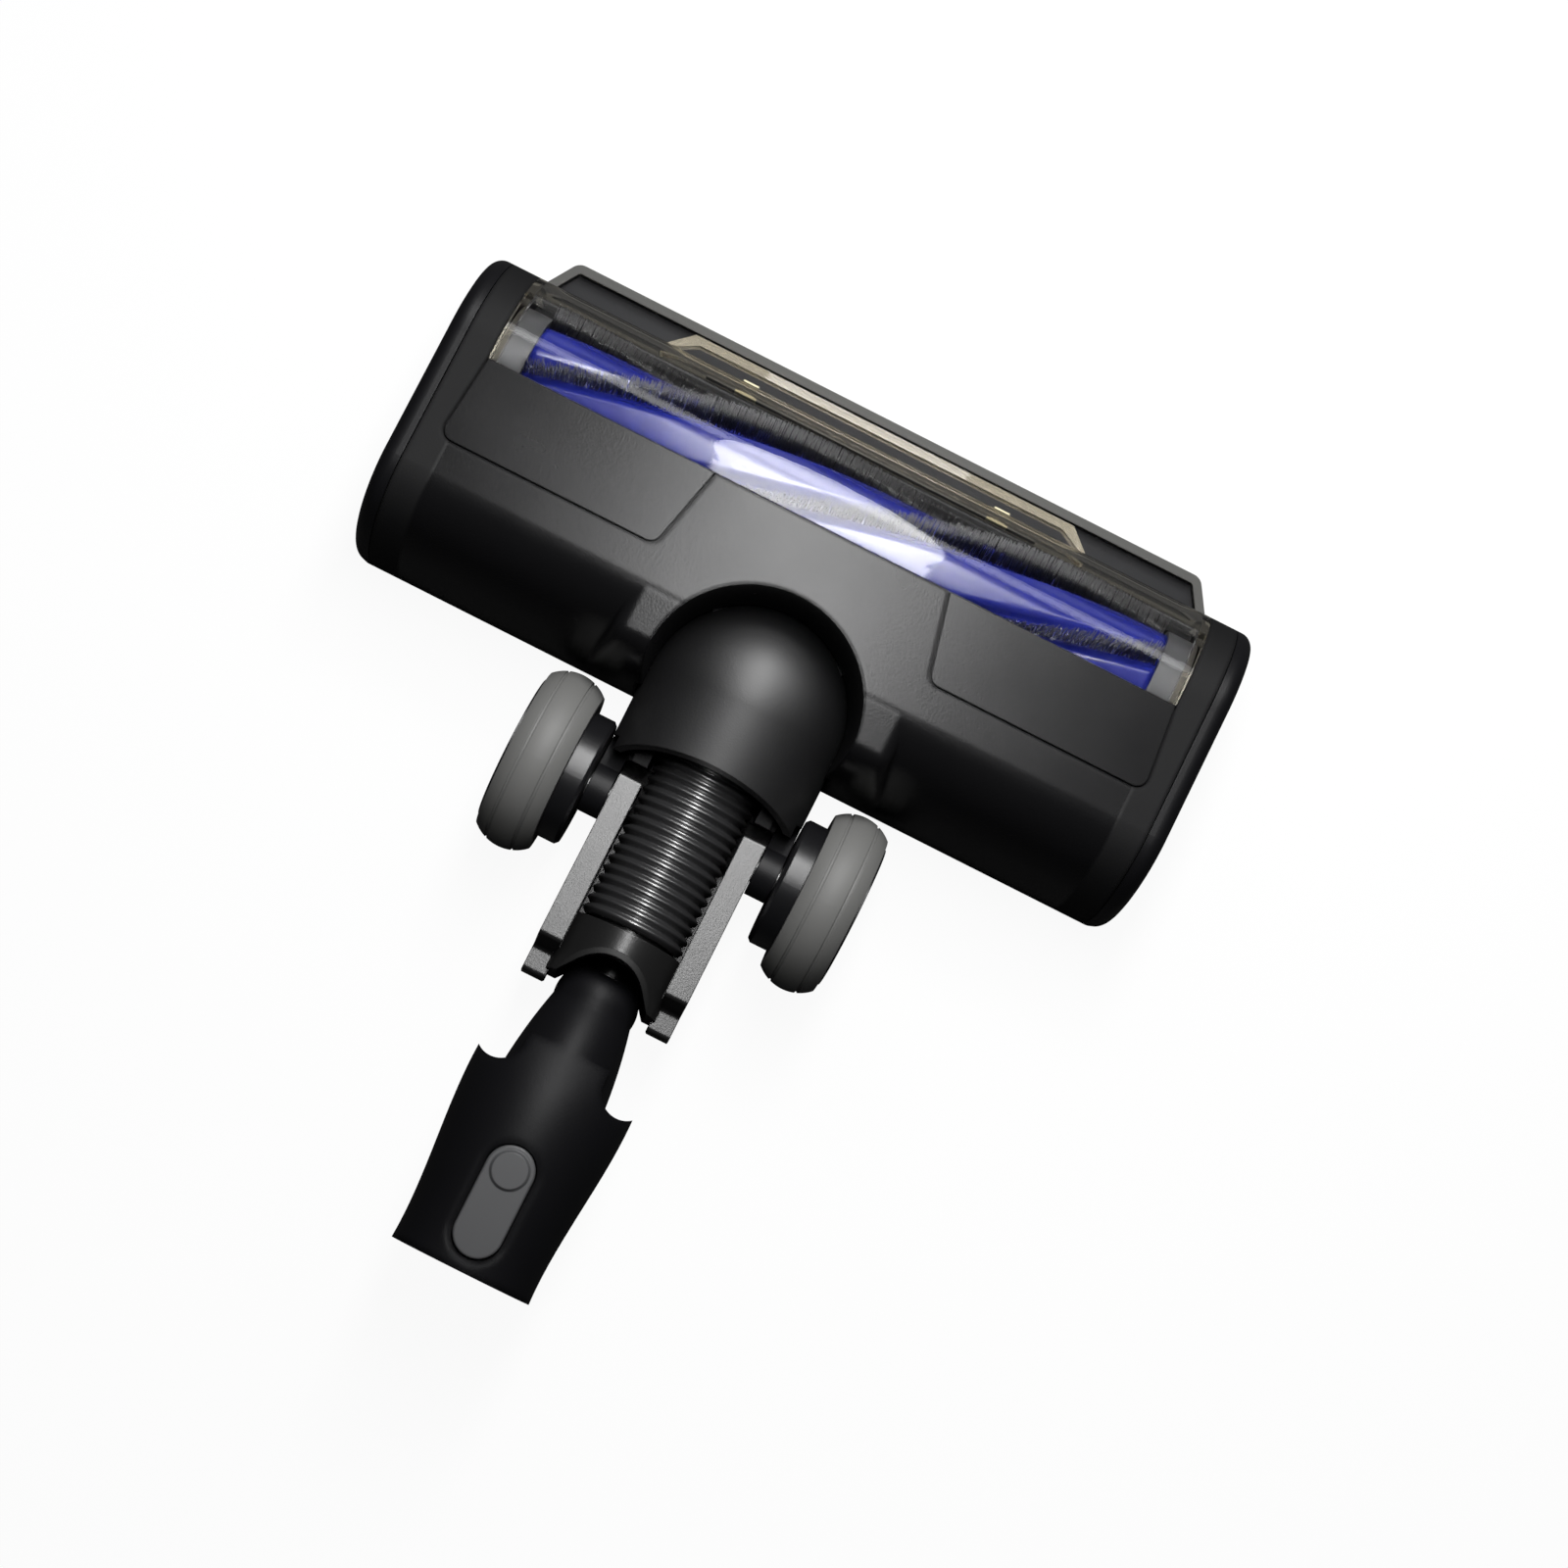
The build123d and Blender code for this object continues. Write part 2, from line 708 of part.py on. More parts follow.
# Brush roll core: a twisted prism with a raised land between each pair of bristle channels
roll_start = Plane(origin=(-core_half, axle_y + roller_y, roller_z), x_dir=(0, 1, 0), z_dir=(1, 0, 0))
roll_vector = (2 * core_half, 0, 0)
row_step = 360.0 / row_count
with BuildSketch(roll_start) as core_face:
    Circle(core_radius)
    for row in range(row_count):
        middle = row_start_angle + (row + 0.5) * row_step
        with BuildLine():
            land = CenterArc((0, 0), land_radius, middle - land_angle / 2, land_angle)
            Polyline(land @ 1, (0, 0), land @ 0)
        make_face()
with BuildPart() as roller_core:
    roll_face = core_face.sketch.faces()[0]
    add(Solid.extrude_linear_with_rotation(roll_face, roll_start.origin, roll_vector, row_turn))
    with BuildSketch(roll_start):
        Circle(shaft_radius + running_fit / 2)
    extrude(amount=2 * core_half, mode=Mode.SUBTRACT)
keep(roller_core, "roller_core")

# Bristle rows: one twisted wall of bristles in each channel
row_root = core_radius + running_fit
with BuildPart() as bristle_rows:
    for row in range(row_count):
        with BuildSketch(roll_start, mode=Mode.PRIVATE) as row_face:
            with Locations(Rotation(0, 0, row_start_angle + row * row_step)):
                with Locations((row_root, 0)):
                    Rectangle(bristle_radius - row_root, row_width, align=(Align.MIN, Align.CENTER))
        strip_face = row_face.sketch.faces()[0]
        add(Solid.extrude_linear_with_rotation(strip_face, roll_start.origin, roll_vector, row_turn))
keep(bristle_rows, "bristle_rows")

# End sleeves: cups on the ends of the roll
for name, sign in sides:
    with BuildPart() as sleeve:
        with BuildSketch(roller_section):
            with BuildLine():
                Polyline(
                    (sign * core_half, shaft_radius + running_fit / 2),
                    (sign * core_half, sleeve_radius),
                    (sign * sleeve_end, sleeve_radius),
                    (sign * sleeve_end, sleeve_radius - sleeve_wall),
                    (sign * (core_half + sleeve_wall), sleeve_radius - sleeve_wall),
                    (sign * (core_half + sleeve_wall), shaft_radius + running_fit / 2),
                    close=True,
                )
            make_face()
        revolve(axis=roller_axis)
    keep(sleeve, f"{name}_roller_sleeve")

# Brush roll axle, right through the core, into both bearings and the driven pulley
axle_right = bulkhead_half + bearing_width
with BuildPart() as roller_axle:
    with BuildSketch(side.offset(-pulley_inner_x - pulley_width)):
        with Locations((roller_y, roller_z)):
            Circle(shaft_radius)
    extrude(amount=pulley_inner_x + pulley_width + axle_right)
keep(roller_axle, "roller_axle")

for name, sign in sides:
    with BuildPart() as bearing:
        with BuildSketch(side.offset(sign * bulkhead_half)):
            with Locations((roller_y, roller_z)):
                Circle(bearing_radius)
                Circle(shaft_radius + running_fit, mode=Mode.SUBTRACT)
        extrude(amount=sign * bearing_width)
    keep(bearing, f"{name}_roller_bearing")

# Belt drive in the left end: pulleys and a flat belt
belt_plane = side.offset(-pulley_inner_x - pulley_width)
belt_start = side.offset(-pulley_inner_x - (pulley_width + belt_width) / 2)
with BuildPart() as driven_pulley:
    with BuildSketch(belt_plane):
        with Locations((roller_y, roller_z)):
            Circle(driven_pulley_radius)
            Circle(shaft_radius + running_fit / 2, mode=Mode.SUBTRACT)
    extrude(amount=pulley_width)
keep(driven_pulley, "driven_pulley")

with BuildPart() as motor_pulley:
    with BuildSketch(belt_plane):
        with Locations((motor_y, motor_z)):
            Circle(motor_pulley_radius)
    extrude(amount=pulley_width)
    with BuildSketch(belt_plane):
        with Locations((motor_y, motor_z)):
            Circle(motor_shaft_radius)
    extrude(amount=pulley_inner_x + pulley_width - motor_inner_x - motor_length + motor_shaft_depth)
keep(motor_pulley, "motor_pulley")


def belt_loop(extra):
    """Loop round both pulleys, outside them by the extra."""
    with BuildSketch(belt_start) as loop:
        with BuildLine():
            CenterArc((roller_y, roller_z), driven_pulley_radius + extra, 0, 360)
            CenterArc((motor_y, motor_z), motor_pulley_radius + extra, 0, 360)
        make_hull()
    return loop.sketch


with BuildPart() as drive_belt:
    extrude(belt_loop(belt_slack + belt_wall), amount=belt_width)
    extrude(belt_loop(belt_slack), amount=belt_width, mode=Mode.SUBTRACT)
keep(drive_belt, "drive_belt")

with BuildPart() as drive_motor:
    with BuildSketch(side.offset(-motor_inner_x)):
        with Locations((motor_y, motor_z)):
            Circle(motor_radius)
    extrude(amount=-motor_length)
    fillet(drive_motor.edges().filter_by(GeomType.CIRCLE), motor_round)
    with BuildSketch(side.offset(-motor_inner_x - motor_length)):
        with Locations((motor_y, motor_z)):
            Circle(motor_shaft_radius + running_fit)
    extrude(amount=motor_bore_depth, mode=Mode.SUBTRACT)
keep(drive_motor, "drive_motor")

# Suction duct: a wedge-shaped box from the chamber wall to a round spigot
with BuildPart() as suction_duct:
    add(duct_box(0))
    add(duct_box(duct_wall), mode=Mode.SUBTRACT)
    with BuildSketch(axle_section.offset(-duct_end_y)):
        Circle(spigot_radius)
    extrude(amount=spigot_length)
    with BuildSketch(axle_section.offset(-duct_end_y - duct_wall)):
        Circle(spigot_bore)
    extrude(amount=spigot_length + duct_wall, mode=Mode.SUBTRACT)
    with BuildSketch(side):
        with Locations((roller_y, roller_z)):
            Circle(chamber_outer)
    extrude(amount=bulkhead_half, both=True, mode=Mode.SUBTRACT)
keep(suction_duct, "suction_duct")


# Hood: half dome at the front, tunnel behind, cut back to a sloping rear mouth
def hood_body(inset):
    """Solid hood inside the outer skin by the inset, from the sole up."""
    half = hood_half - inset
    rise = hood_top_z - hood_spring_z - inset
    with BuildPart() as body:
        with BuildSketch(hood_section):
            with BuildLine():
                EllipticalCenterArc((0, hood_spring_z), half, rise, 0, arc_size=90)
                Polyline((0, hood_top_z - inset), (0, sole_top), (half, sole_top), (half, hood_spring_z))
            make_face()
        revolve(axis=Axis((0, axle_y + hood_y, 0), (0, 0, 1)), revolution_arc=180)
        with BuildSketch(hood_section):
            with BuildLine():
                EllipticalCenterArc((0, hood_spring_z), half, rise, 0, arc_size=180)
                Polyline((-half, hood_spring_z), (-half, sole_top), (half, sole_top), (half, hood_spring_z))
            make_face()
        extrude(amount=hood_y - hinge_rear_y)
    return body.part


with BuildPart() as duct_hood:
    add(hood_body(0))
    add(hood_body(hood_wall), mode=Mode.SUBTRACT)
    with BuildSketch(side):
        with BuildLine():
            Polyline(
                (-hood_half, 0),
                (hood_low_y, 0),
                (hood_low_y, hood_lip_z),
                (hood_lip_y, hood_lip_z),
                (hood_high_y, hood_top_z + 1),
                (-hood_half, hood_top_z + 1),
                close=True,
            )
        make_face()
    extrude(amount=hood_half + 1, both=True, mode=Mode.SUBTRACT)
    with BuildSketch(side):
        with Locations((roller_y, roller_z)):
            Circle(chamber_outer + part_gap)
    extrude(amount=bulkhead_half, both=True, mode=Mode.SUBTRACT)
    add(duct_box(-part_gap), mode=Mode.SUBTRACT)
keep(duct_hood, "duct_hood")

# Hinge frame: base plate on the sole's tongue and two cranked ears that hold the stub axles
hinge_top = sole_top + hinge_base
hinge_width = 2 * (ear_inner_x + ear_wall)
crank_front_y = hood_low_y - part_gap
with BuildPart() as hinge_frame:
    with BuildSketch(plan.offset(sole_top)):
        with Locations((0, hinge_rear_y)):
            Rectangle(hinge_width, ear_front_y - hinge_rear_y, align=(Align.CENTER, Align.MIN))
    extrude(amount=hinge_base)
    for _, sign in sides:
        with BuildSketch(plan.offset(hinge_top)):
            with Locations((sign * (ear_inner_x + ear_wall / 2), ear_rear_y)):
                Rectangle(ear_wall, ear_front_y - ear_rear_y, align=(Align.CENTER, Align.MIN))
        extrude(amount=axle_z + ear_radius - ear_step - hinge_top)
        with BuildSketch(side.offset(sign * ear_outer_x)):
            with Locations((0, axle_z)):
                Circle(ear_radius)
            with BuildLine():
                Polyline(
                    (0, axle_z + ear_radius),
                    (crank_front_y, axle_z - ear_drop),
                    (crank_front_y, axle_z - ear_radius),
                    (0, axle_z - ear_radius),
                    close=True,
                )
            make_face()
            with Locations((0, axle_z)):
                Circle(axle_radius + running_fit / 2, mode=Mode.SUBTRACT)
        extrude(amount=sign * ear_pad)
        with BuildSketch(side.offset(sign * (ear_inner_x + ear_wall / 2))):
            with Locations((ear_rear_y, axle_z - ear_drop)):
                Rectangle(crank_front_y - ear_rear_y, ear_radius - ear_drop, align=(Align.MIN, Align.MAX))
        extrude(amount=sign * (ear_outer_x - ear_inner_x - ear_wall / 2))
keep(hinge_frame, "hinge_frame")

# Stub axles, wheel hubs, tyres and hub caps
for name, sign in sides:
    recess_x = tyre_outer_x + hub_lip - hub_recess_depth
    with BuildPart() as stub_axle:
        with BuildSketch(axle_section):
            with BuildLine():
                Polyline(
                    (sign * (arm_inner_x + axle_inset), 0),
                    (sign * (arm_inner_x + axle_inset), axle_radius),
                    (sign * (recess_x + part_gap), axle_radius),
                    (sign * (recess_x + part_gap), axle_head_radius),
                    (sign * (recess_x + part_gap + axle_head), axle_head_radius),
                    (sign * (recess_x + part_gap + axle_head), 0),
                    close=True,
                )
            make_face()
        revolve(axis=axle_axis)
    keep(stub_axle, f"{name}_stub_axle")

    with BuildPart() as wheel_hub:
        with BuildSketch(axle_section):
            with BuildLine():
                Polyline(
                    (sign * hub_inner_x, axle_radius + running_fit),
                    (sign * hub_inner_x, hub_radius - hub_chamfer),
                    (sign * (hub_inner_x + hub_chamfer), hub_radius),
                    (sign * tyre_inner_x, hub_radius),
                    (sign * tyre_inner_x, rim_radius),
                    (sign * (tyre_outer_x + hub_lip), rim_radius),
                    (sign * (tyre_outer_x + hub_lip), hub_recess_radius),
                    (sign * recess_x, hub_recess_radius),
                    (sign * recess_x, axle_radius + running_fit),
                    close=True,
                )
            make_face()
        revolve(axis=axle_axis)
    keep(wheel_hub, f"{name}_wheel_hub")

    with BuildPart() as tyre:
        with BuildSketch(axle_section):
            with BuildLine():
                crown = ThreePointArc(
                    (sign * tyre_inner_x, tyre_shoulder_radius),
                    (sign * (tyre_inner_x + tyre_width / 2), wheel_radius),
                    (sign * tyre_outer_x, tyre_shoulder_radius),
                )
                Polyline(
                    crown @ 1,
                    (sign * tyre_outer_x, rim_radius + running_fit),
                    (sign * tyre_inner_x, rim_radius + running_fit),
                    crown @ 0,
                )
            make_face()
            for place in (-tyre_groove_offset, tyre_groove_offset):
                with Locations((sign * (tyre_inner_x + tyre_width / 2) + place, wheel_radius)):
                    Rectangle(tyre_groove, 3 * tyre_groove, mode=Mode.SUBTRACT)
        revolve(axis=axle_axis)
    keep(tyre, f"{name}_tyre")

    with BuildPart() as hub_cap:
        with BuildSketch(side.offset(sign * (tyre_outer_x + hub_lip))):
            with Locations((0, axle_z)):
                Circle(hub_recess_radius - running_fit)
        extrude(amount=-sign * cap_wall)
    keep(hub_cap, f"{name}_hub_cap")

# Ribbed hose: a thin tube on an easy bend from the duct spigot to the yoke spigot, with close ribs
hose_start_y = duct_end_y
bend_radius = hose_start_y / sin(tilt / 2) * cos(tilt / 2)
with BuildLine(side) as hose_path:
    hose_arc = CenterArc((hose_start_y, axle_z + bend_radius), bend_radius, -90, -neck_tilt)
rib_count = int(hose_arc.length / hose_pitch)
with BuildPart() as ribbed_hose:
    hose_line = hose_path.line
    with BuildSketch(Plane(origin=hose_line @ 0, x_dir=(1, 0, 0), z_dir=hose_line % 0)):
        Circle(hose_root_radius)
        Circle(hose_bore, mode=Mode.SUBTRACT)
    sweep(path=hose_line)
    for rib in range(rib_count):
        place = (rib + 0.5) / rib_count
        with BuildSketch(Plane(origin=hose_line @ place, x_dir=(1, 0, 0), z_dir=hose_line % place)):
            Circle(hose_radius)
            Circle((hose_root_radius + hose_bore) / 2, mode=Mode.SUBTRACT)
        extrude(amount=hose_rib / 2, both=True)
keep(ribbed_hose, "ribbed_hose")

# Neck yoke: two arms, a collar for the hose, and a cross block with the swivel socket
swing = radians(swing_angle) + atan2(throat_half - ball_radius, shoulder_place)
swing_line = ball_radius * cos(swing - radians(swing_angle)) + swing_gap


def swing_limit(x):
    """Place along the swivel plane that clears the swung throat at a distance across."""
    return (swing_line - x * cos(swing)) / sin(swing)


def swing_room():
    """Room on both sides of the swivel ball for the throat at the ends of its swing."""
    with BuildPart() as room:
        for _, sign in sides:
            with BuildSketch(swivel):
                with BuildLine():
                    Polyline(
                        (sign * (lug_half + lug_margin), swing_limit(lug_half + lug_margin)),
                        (sign * (arm_outer_x + 1), swing_limit(arm_outer_x + 1)),
                        (sign * (arm_outer_x + 1), -2 * ball_radius),
                        (sign * (lug_half + lug_margin), -2 * ball_radius),
                        close=True,
                    )
                make_face()
            extrude(amount=2 * ball_radius, both=True)
    return room.part


with BuildPart() as neck_yoke:
    for _, sign in sides:
        with BuildSketch(neck_side.offset(sign * arm_inner_x)) as arm_face:
            with BuildLine():
                Polyline(
                    (arm_front, -arm_half_height),
                    (arm_front, arm_half_height),
                    (-arm_step, arm_half_height),
                    (-arm_step - arm_step_run, arm_step_height),
                    (-arm_rear, arm_step_height),
                    (-arm_rear, -arm_half_height),
                    close=True,
                )
            make_face()
            fillet(arm_face.vertices(), arm_corner)
        extrude(amount=sign * arm_width)
    channel_inner = arm_outer_x - channel_wall
    channel_height = arm_corner - arm_half_height - block_low
    with BuildSketch(neck_cross(channel_start)):
        with Locations((0, block_low)):
            Rectangle(2 * arm_outer_x, channel_height, align=(Align.CENTER, Align.MIN))
        with Locations((0, block_low + channel_wall)):
            Rectangle(2 * channel_inner, -block_low, align=(Align.CENTER, Align.MIN), mode=Mode.SUBTRACT)
    extrude(amount=swivel_place - ball_cover - channel_start)
    with BuildSketch(neck_cross(collar_start)):
        Circle(collar_radius)
    extrude(amount=swivel_place - ball_cover - collar_start)
    with BuildSketch(neck_cross(block_start)):
        with Locations((0, block_low)):
            Rectangle(2 * (arm_inner_x + 1), block_top - block_low, align=(Align.CENTER, Align.MIN))
    extrude(amount=swivel_place - ball_cover - block_start)
    with BuildSketch(swivel.offset(block_low)):
        Circle(lug_half)
        Rectangle(2 * lug_half, swivel_place - block_start, align=(Align.CENTER, Align.MIN))
    extrude(amount=lug_top - block_low)
    with BuildSketch(neck_cross(collar_start - spigot_length)):
        Circle(spigot_radius)
    extrude(amount=spigot_length)
    with Locations(swivel.location):
        Sphere(ball_radius + ball_gap, mode=Mode.SUBTRACT)
    with BuildSketch(swivel):
        Circle(ball_radius + ball_gap)
    extrude(amount=2 * ball_radius, mode=Mode.SUBTRACT)
    with BuildSketch(swivel.offset(lug_top)):
        Circle(lug_boss_radius)
    extrude(amount=lug_boss_top - lug_top)
    with BuildSketch(neck_cross(collar_start - spigot_length)):
        Circle(passage_radius)
    extrude(amount=swivel_place - collar_start + spigot_length, mode=Mode.SUBTRACT)
    with BuildSketch(swivel.offset(block_low)):
        Circle(pin_radius + running_fit / 2)
    extrude(amount=lug_boss_top - block_low, mode=Mode.SUBTRACT)
    add(swing_room(), mode=Mode.SUBTRACT)
    with BuildSketch(side):
        with Locations((0, axle_z)):
            Circle(axle_radius + running_fit)
    extrude(amount=arm_outer_x + 1, both=True, mode=Mode.SUBTRACT)
keep(neck_yoke, "neck_yoke")

# Rim seal: a raised rubber lip on the collar, round the opening for the ball
with BuildPart() as rim_seal:
    with BuildSketch(neck_cross(block_start)):
        Circle(collar_radius + seal_height)
        Circle(collar_radius, mode=Mode.SUBTRACT)
    extrude(amount=swivel_place - ball_cover - block_start)
    with BuildSketch(swivel):
        Circle(ball_radius + ball_gap + seal_width)
        Circle(ball_radius + ball_gap, mode=Mode.SUBTRACT)
    extrude(amount=2 * ball_radius, mode=Mode.INTERSECT)
    add(swing_room(), mode=Mode.SUBTRACT)
keep(rim_seal, "rim_seal")

# Swivel pin: a steel peg in the lug, up into the underside of the ball
with BuildPart() as swivel_pin:
    with BuildSketch(swivel.offset(block_low)):
        Circle(pin_radius)
    extrude(amount=pin_top - block_low)
keep(swivel_pin, "swivel_pin")


def oval(place, half_width, half_height):
    """Elliptical section of the connector tube at a length from the swivel axis."""
    with BuildSketch(neck_cross(swivel_place + place)) as section:
        Ellipse(half_width, half_height)
    return section.sketch


# Connector tube: swivel ball, flared throat, scooped shoulders and a round socket for the wand
throat_ovals = (
    oval(0, ball_radius - throat_step, ball_radius - throat_step),
    oval(shoulder_place, throat_half, throat_half_height),
    oval(
        shoulder_place + throat_overlap,
        throat_half + throat_flare,
        throat_half_height + 2 * throat_flare,
    ),
)
body_ovals = (
    oval(shoulder_place - throat_overlap, shoulder_half, shoulder_half_height),
    oval(belly_place, belly_half, belly_half_height),
    oval(waist_place, waist_half, waist_half_height),
    oval(tube_length, mouth_half_width, mouth_half_height),
)
socket_start = neck_length - socket_depth
button_plane = swivel.offset(button_pocket_floor)
with BuildPart() as connector_tube:
    loft(body_ovals)
    with BuildSketch(swivel):
        with Locations((-scoop_x, -scoop_place), (scoop_x, -scoop_place)):
            Circle(scoop_radius)
        with Locations((-scoop_x, -scoop_place), (scoop_x, -scoop_place)):
            Rectangle(2 * scoop_radius, scoop_radius, align=(Align.CENTER, Align.MIN))
    extrude(amount=2 * mouth_half_height, both=True, mode=Mode.SUBTRACT)
    loft(throat_ovals)
    with Locations(swivel.location):
        Sphere(ball_radius)
    with BuildSketch(neck_section):
        with BuildLine():
            Polyline(
                (swivel_place - 2 * ball_radius, 0),
                (swivel_place - 2 * ball_radius, passage_radius),
                (swivel_place + ball_radius / 2, passage_radius),
                (swivel_place + shoulder_place, tube_bore),
                (socket_start, tube_bore),
                (socket_start, socket_radius),
                (neck_length, socket_radius),
                (neck_length, 0),
                close=True,
            )
        make_face()
    revolve(axis=neck_axis, mode=Mode.SUBTRACT)
    with BuildSketch(button_plane):
        with Locations((0, -button_place)):
            SlotOverall(button_length + 2 * button_gap, button_width + 2 * button_gap, rotation=90)
    extrude(amount=mouth_half_height, mode=Mode.SUBTRACT)
    with BuildSketch(neck_cross(neck_length - terminal_depth)):
        with Locations((0, terminal_top)):
            Rectangle(2 * terminal_half, terminal_height, align=(Align.CENTER, Align.MAX))
    extrude(amount=terminal_depth, mode=Mode.SUBTRACT)
    with BuildSketch(swivel.offset(block_low)):
        Circle(pin_radius + running_fit)
    extrude(amount=pin_top + running_fit - block_low, mode=Mode.SUBTRACT)
keep(connector_tube, "connector_tube")

# Release button: a pill with a raised thumb spot at its head end, on a leaf spring
button_base = button_top - button_wall
with BuildPart() as release_button:
    with BuildSketch(swivel.offset(button_base)):
        with Locations((0, -button_place)):
            SlotOverall(button_length, button_width, rotation=90)
    extrude(amount=button_wall)
    rim_edges = release_button.faces().sort_by(Axis(neck.origin, neck.z_dir))[-1].edges()
    fillet(rim_edges, button_round)
    with BuildSketch(swivel.offset(button_top)):
        with Locations((0, -button_place + (button_length - button_width) / 2)):
            Circle(thumb_radius)
    extrude(amount=thumb_rise, taper=thumb_taper)
keep(release_button, "release_button")

# Button spring: an arched steel leaf between the pocket floor and the button
spring_rise = button_base - button_pocket_floor
with BuildPart() as button_spring:
    with BuildSketch(neck_side):
        with BuildLine():
            middle = -swivel_place - button_place
            low = button_pocket_floor
            knee = spring_length / 2
            toe = knee + spring_foot
            under = ThreePointArc(
                (middle - knee, low),
                (middle, low + spring_rise - spring_wall),
                (middle + knee, low),
            )
            over = ThreePointArc(
                (middle - toe, low + spring_wall),
                (middle, low + spring_rise),
                (middle + toe, low + spring_wall),
            )
            Polyline(under @ 0, (middle - toe, low), over @ 0)
            Polyline(over @ 1, (middle + toe, low), under @ 1)
        make_face()
    extrude(amount=spring_width / 2, both=True)
keep(button_spring, "button_spring")

# Terminal block and its two contact pins in the lower wall of the socket
terminal_end = neck_length - terminal_recess
with BuildPart() as terminal_block:
    with BuildSketch(neck_cross(neck_length - terminal_depth)):
        with Locations((0, terminal_top - running_fit)):
            Rectangle(
                2 * (terminal_half - running_fit),
                terminal_height - 2 * running_fit,
                align=(Align.CENTER, Align.MAX),
            )
    extrude(amount=terminal_depth - terminal_recess)
keep(terminal_block, "terminal_block")

with BuildPart() as contact_pins:
    with BuildSketch(neck_cross(terminal_end)):
        with Locations((0, terminal_top - terminal_height / 2)):
            with GridLocations(terminal_half, 1, 2, 1):
                Circle(contact_radius)
    extrude(amount=terminal_recess - contact_recess)
keep(contact_pins, "contact_pins")

# Pile strip behind the brush mouth, glide pads and the screws of the sole
with BuildPart() as pile_strip:
    with BuildSketch(plan.offset(sole_z)):
        with Locations((0, mouth_rear_y - strip_gap)):
            Rectangle(2 * (mouth_half - strip_end), strip_depth, align=(Align.CENTER, Align.MAX))
    extrude(amount=-strip_height)
keep(pile_strip, "pile_strip")

pad_front_y = (mouth_front_y + nose_y) / 2
with BuildPart() as glide_pads:
    with BuildSketch(plan):
        for _, sign in sides:
            with Locations((sign * pad_x, pad_rear_y), (sign * pad_front_x, pad_front_y)):
                SlotOverall(4 * pad_radius, pad_front_y - mouth_front_y)
    extrude(amount=sole_z)
keep(glide_pads, "glide_pads")

with BuildPart() as sole_screws:
    with BuildSketch(plan.offset(sole_z)):
        for screw_x in (-pad_x, -screw_inner_x, screw_inner_x, pad_x):
            with Locations((screw_x, screw_rear_y)):
                Circle(screw_radius)
    extrude(amount=-screw_head)
keep(sole_screws, "sole_screws")
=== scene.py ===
import json
import math
import random
import bpy
import bmesh
from mathutils import Matrix, Vector


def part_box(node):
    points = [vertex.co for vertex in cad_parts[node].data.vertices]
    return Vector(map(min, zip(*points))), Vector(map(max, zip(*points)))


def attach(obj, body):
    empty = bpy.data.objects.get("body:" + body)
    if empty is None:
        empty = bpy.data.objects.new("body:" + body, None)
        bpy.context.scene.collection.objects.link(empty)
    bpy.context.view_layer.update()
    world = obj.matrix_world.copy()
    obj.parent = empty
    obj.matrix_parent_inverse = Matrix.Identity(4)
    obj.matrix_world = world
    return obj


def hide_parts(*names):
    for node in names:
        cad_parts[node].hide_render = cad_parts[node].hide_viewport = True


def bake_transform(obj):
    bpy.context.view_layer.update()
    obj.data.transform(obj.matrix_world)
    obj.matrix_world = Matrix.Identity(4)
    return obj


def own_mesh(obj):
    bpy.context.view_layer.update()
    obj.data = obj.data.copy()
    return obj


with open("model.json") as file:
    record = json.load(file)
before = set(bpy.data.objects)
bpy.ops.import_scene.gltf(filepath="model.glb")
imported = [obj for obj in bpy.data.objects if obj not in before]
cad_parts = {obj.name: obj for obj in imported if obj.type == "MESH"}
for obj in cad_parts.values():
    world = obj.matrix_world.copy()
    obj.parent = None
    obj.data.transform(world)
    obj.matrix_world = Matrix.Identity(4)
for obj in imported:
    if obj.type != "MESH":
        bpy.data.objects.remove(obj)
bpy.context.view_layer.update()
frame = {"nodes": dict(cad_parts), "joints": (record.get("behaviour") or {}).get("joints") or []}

# Camera: straight above the head, turned so that the head lies across the picture
# and the wand socket points to the lower left, as in a catalogue picture.
CAMERA_PLACE = (0.0083, -0.0087, 0.8939)
CAMERA_ROLL = math.radians(26.78)
CAMERA_PITCH = math.radians(1.811)
CAMERA_YAW = math.radians(-1.80)
CAMERA_LENS = 67.75
CAMERA_SENSOR = 36.0
CAMERA_NEAR = 0.01
scene = bpy.context.scene
camera_data = bpy.data.cameras.new("camera")
camera_data.lens = CAMERA_LENS
camera_data.sensor_width = CAMERA_SENSOR
camera_data.clip_start = CAMERA_NEAR
camera = bpy.data.objects.new("camera", camera_data)
scene.collection.objects.link(camera)
camera.matrix_world = (
    Matrix.Translation(CAMERA_PLACE)
    @ Matrix.Rotation(CAMERA_ROLL, 4, "Z")
    @ Matrix.Rotation(CAMERA_PITCH, 4, "X")
    @ Matrix.Rotation(CAMERA_YAW, 4, "Y")
)
scene.camera = camera
scene.view_settings.view_transform = "Standard"

# Studio: white paper on the floor, a long narrow softbox over the front of the head and a wide
# strip before it. The room is dark, so black plastics shade off to black. The paper carries
# painted shade, dim instead of white, under the mouth, under the hose's two sides and, through
# the cover, before the head.
PAPER_HALF = 3.0
PAPER_DROP = 0.0004
PAPER_WHITE = (1.0, 1.0, 1.0, 1)
PAPER_LIT = 0.94
PAPER_PAINTED_SHADE = (0.05, 0.05, 0.05, 1)
ROOM_DARK = (0.012, 0.012, 0.013)
HORIZON = (PAPER_LIT, PAPER_LIT, PAPER_LIT)
joints = {joint["name"]: joint for joint in frame["joints"]}
AXLE = Vector(joints["neck_tilt"]["pos_m"])
ROLL = Vector(joints["brush_spin"]["pos_m"])
